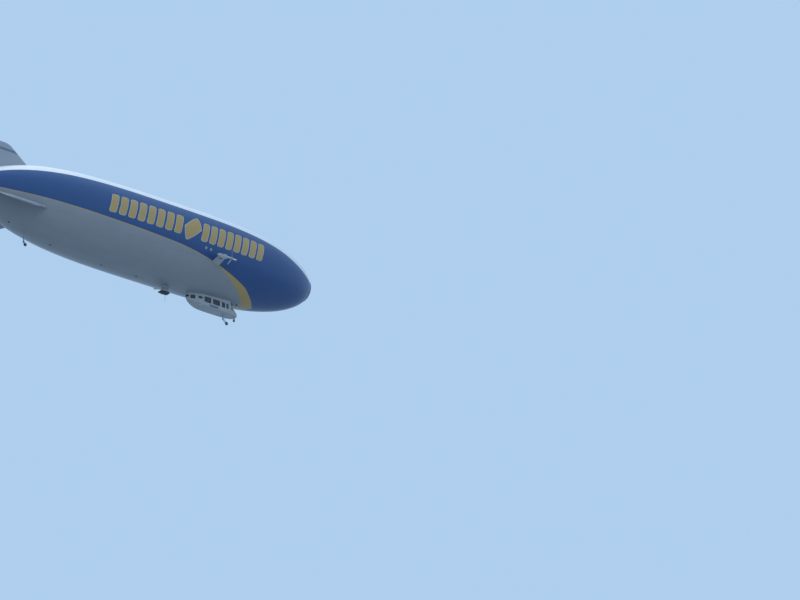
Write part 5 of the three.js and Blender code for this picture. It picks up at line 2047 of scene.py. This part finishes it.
@dataclass
class BellyFittings:
    """The air scoop and the whip aerial behind the cabin; full-size metres."""

    top: Curve = Curve((
        (29.85, -8.2), (29.95, -8.14), (30.2, -8.12), (31.3, -8.1), (31.6, -8.2), (31.9, -8.38),
    ))
    under: Curve = Curve((
        (29.85, -8.36), (29.95, -8.46), (30.2, -8.5), (31.4, -8.5), (31.7, -8.49), (31.9, -8.44),
    ))
    half: Curve = Curve(((29.85, 0.33), (30.0, 0.41), (31.2, 0.42), (31.6, 0.36), (31.9, 0.2)))
    slats: int = 4
    slat_row: Pair = (30.3, 0.22)
    rail: Row = (30.05, 31.15, 0.302, -7.6)
    whip: float = 30.57
    slat: Row = (0.02, 0.15, 0.005)

    @staticmethod
    def _rounded(sides: int, power: float) -> list[Pair]:
        """Return a square with round corners, from -1 to 1 both ways."""
        return [tuple(math.copysign(abs(v) ** power, v) for v in turn) for turn in circle(sides)]

    def _neck(self) -> Shape:
        """Make the neck between the belly and the tray.

        Returns:
            The neck.
        """
        rings = []
        for t in spread(0, 1, 20):
            flare = 0.1 * math.exp(-((t / 0.12) ** 2))
            front, rear, wide = 29.96 - flare, 31.28 - 0.1 * t + flare, 0.3 + flare
            middle, half, z = (front + rear) / 2, (rear - front) / 2, -6.98 - 1.2 * t
            rings.append([at(middle + x * half, y * wide, z) for x, y in self._rounded(48, 0.5)])
        return Shape().skin(rings, capped=True)

    def _tray(self) -> Shape:
        """Make the flat tray.

        Returns:
            The tray.
        """
        rings = []
        for s in spread(29.85, 31.9, 40):
            high, low, wide = self.top(s), self.under(s), self.half(s)
            middle, half = (high + low) / 2, (high - low) / 2
            rings.append([at(s, y * wide, middle + z * half) for y, z in self._rounded(40, 0.35)])
        return Shape().skin(rings, capped=True)

    def build(self) -> None:
        """Make the scoop and the aerial; the scoop's tray is dark metal, as painted shade under it."""
        # Tint 1, dark metal, on the whole tray is painted shade under the scoop; the slats and rails share
        # it.
        scoop = self._neck().join(self._tray(), tint=1)
        (first, pitch), corner = self.slat_row, Vector(self.slat)
        for i in range(self.slats):
            middle = at(first + pitch * i, 0, -8.498)
            scoop.join(block(middle - corner, middle + corner, 0.003), tint=1)
        front, rear, y, z = self.rail
        for sign in SIGNS:
            scoop.join(tube([at(front, sign * y, z), at(rear, sign * y, z)], 0.008), tint=1)
        place_piece("air_scoop", scoop, [SILVER, DARK_METAL], "white_shell", replaces=["belly_scoop"])
        rows = [(0.0, 0.045), (0.012, 0.043), (0.05, 0.03), (0.08, 0.016), (0.1, 0.011), (0.4, 0.009)]
        rows += [(0.66, 0.007), (0.678, 0.004), (0.68, 0.0)]
        whip = lathe(rows, at(self.whip, 0, -8.49), -UP, 24)
        place_piece("whip_aerial", whip, [DARK_METAL], "steel", replaces=["whip_antenna"])


# ---- studio


@dataclass
class Studio:
    """Floor, lights and camera; the camera looks up from starboard and from behind the airship."""

    lens: float = 222.2
    sensor: float = 36.0
    distance: float = 400.0
    reach: float = 4000.0
    middle_station: float = 30.0
    aim: Pair = (18.824, -4.353)
    floor_z: float = -160.0
    floor_radius: float = 1900.0
    air: Colour = (0.43, 0.62, 0.86)
    to_camera: Row = (-0.5897, -0.7063, -0.3915)
    right: Row = (0.7676, -0.6409, 0.0)
    up: Row = (-0.2509, -0.3005, 0.9202)

    @staticmethod
    def _light(name: str, place: Row, size: float, power: float, colour: Colour, glossy: bool) -> None:
        """Add a wide soft lamp that looks at the airship.

        Args:
            name: The lamp's name.
            place: Where it hangs.
            size: Its width.
            power: Its power in watts.
            colour: Its colour.
            glossy: Whether gloss shows it.
        """
        lamp = bpy.data.lights.new(name, "AREA")
        lamp.shape, lamp.size, lamp.energy, lamp.color = "DISK", size, power, colour
        holder = bpy.data.objects.new(name, lamp)
        holder.location = place
        holder.rotation_euler = (-Vector(place)).to_track_quat("-Z", "Y").to_euler()
        holder.visible_camera, holder.visible_glossy = False, glossy
        bpy.context.scene.collection.objects.link(holder)

    def _camera(self) -> None:
        """Add the camera."""
        middle, up = at(self.middle_station), Vector(self.up)
        lens = bpy.data.cameras.new("camera")
        lens.lens, lens.sensor_width, lens.clip_start, lens.clip_end = self.lens, self.sensor, 1.0, self.reach
        camera = bpy.data.objects.new("camera", lens)
        camera.location = middle + Vector(self.to_camera) * self.distance
        target = middle + Vector(self.right) * self.aim[0] + up * self.aim[1]
        ahead = (target - camera.location).normalized()
        right = ahead.cross(up).normalized()
        camera.rotation_euler = Matrix((right, right.cross(ahead), -ahead)).transposed().to_euler()
        bpy.context.scene.collection.objects.link(camera)
        bpy.context.scene.camera = camera

    def build(self) -> None:
        """Make the camera, the lamps, the air and the floor."""
        scene = bpy.context.scene
        scene.view_settings.view_transform = "Standard"
        self._camera()
        world = bpy.data.worlds.new("studio")
        world.use_nodes = True
        back = world.node_tree.nodes["Background"].inputs
        back["Color"].default_value, back["Strength"].default_value = (*self.air, 1), 1.0
        scene.world = world
        self._light("top_light", (-34, 20, 58), 46, 36000, (1.0, 0.94, 0.87), True)
        self._light("side_light", (-30, -60, 18), 30, 5000, (1.0, 0.98, 0.95), False)
        mesh = bpy.data.meshes.new("floor")
        rim = [Vector((c, s, 0)) * self.floor_radius + UP * self.floor_z for c, s in circle(96)]
        mesh.from_pydata(rim, [], [tuple(range(len(rim)))])
        mesh.materials.append(FLOOR_PAINT.material())
        floor = bpy.data.objects.new("floor", mesh)
        scene.collection.objects.link(floor)


def dress_kept_nodes() -> None:
    """Give the CAD nodes that stay their own finishes."""
    for name in ("engine_port", "engine_starboard", "engine_stern"):
        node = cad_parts[name]
        node.data.materials.clear()
        node.data.materials.append(ENGINE_METAL.material())
        LOG.info("%s: kept, with a finish", name)


def main() -> None:
    """Build the airship's pieces in order."""
    logging.basicConfig(level=logging.INFO, format="%(message)s")
    for assembly in (Studio, Envelope, Nose, Fins, SideDrives, Stern, Cabin):
        assembly().build()
    Caster("front", 18.3, -8.99, -9.62, 17.54, -10.26).build()
    Caster("rear", 59.55, -5.0, -7.2, 59.2, -7.66).build()
    CameraTurret().build()
    BellyFittings().build()
    dress_kept_nodes()


if __name__ == "__main__":
    main()
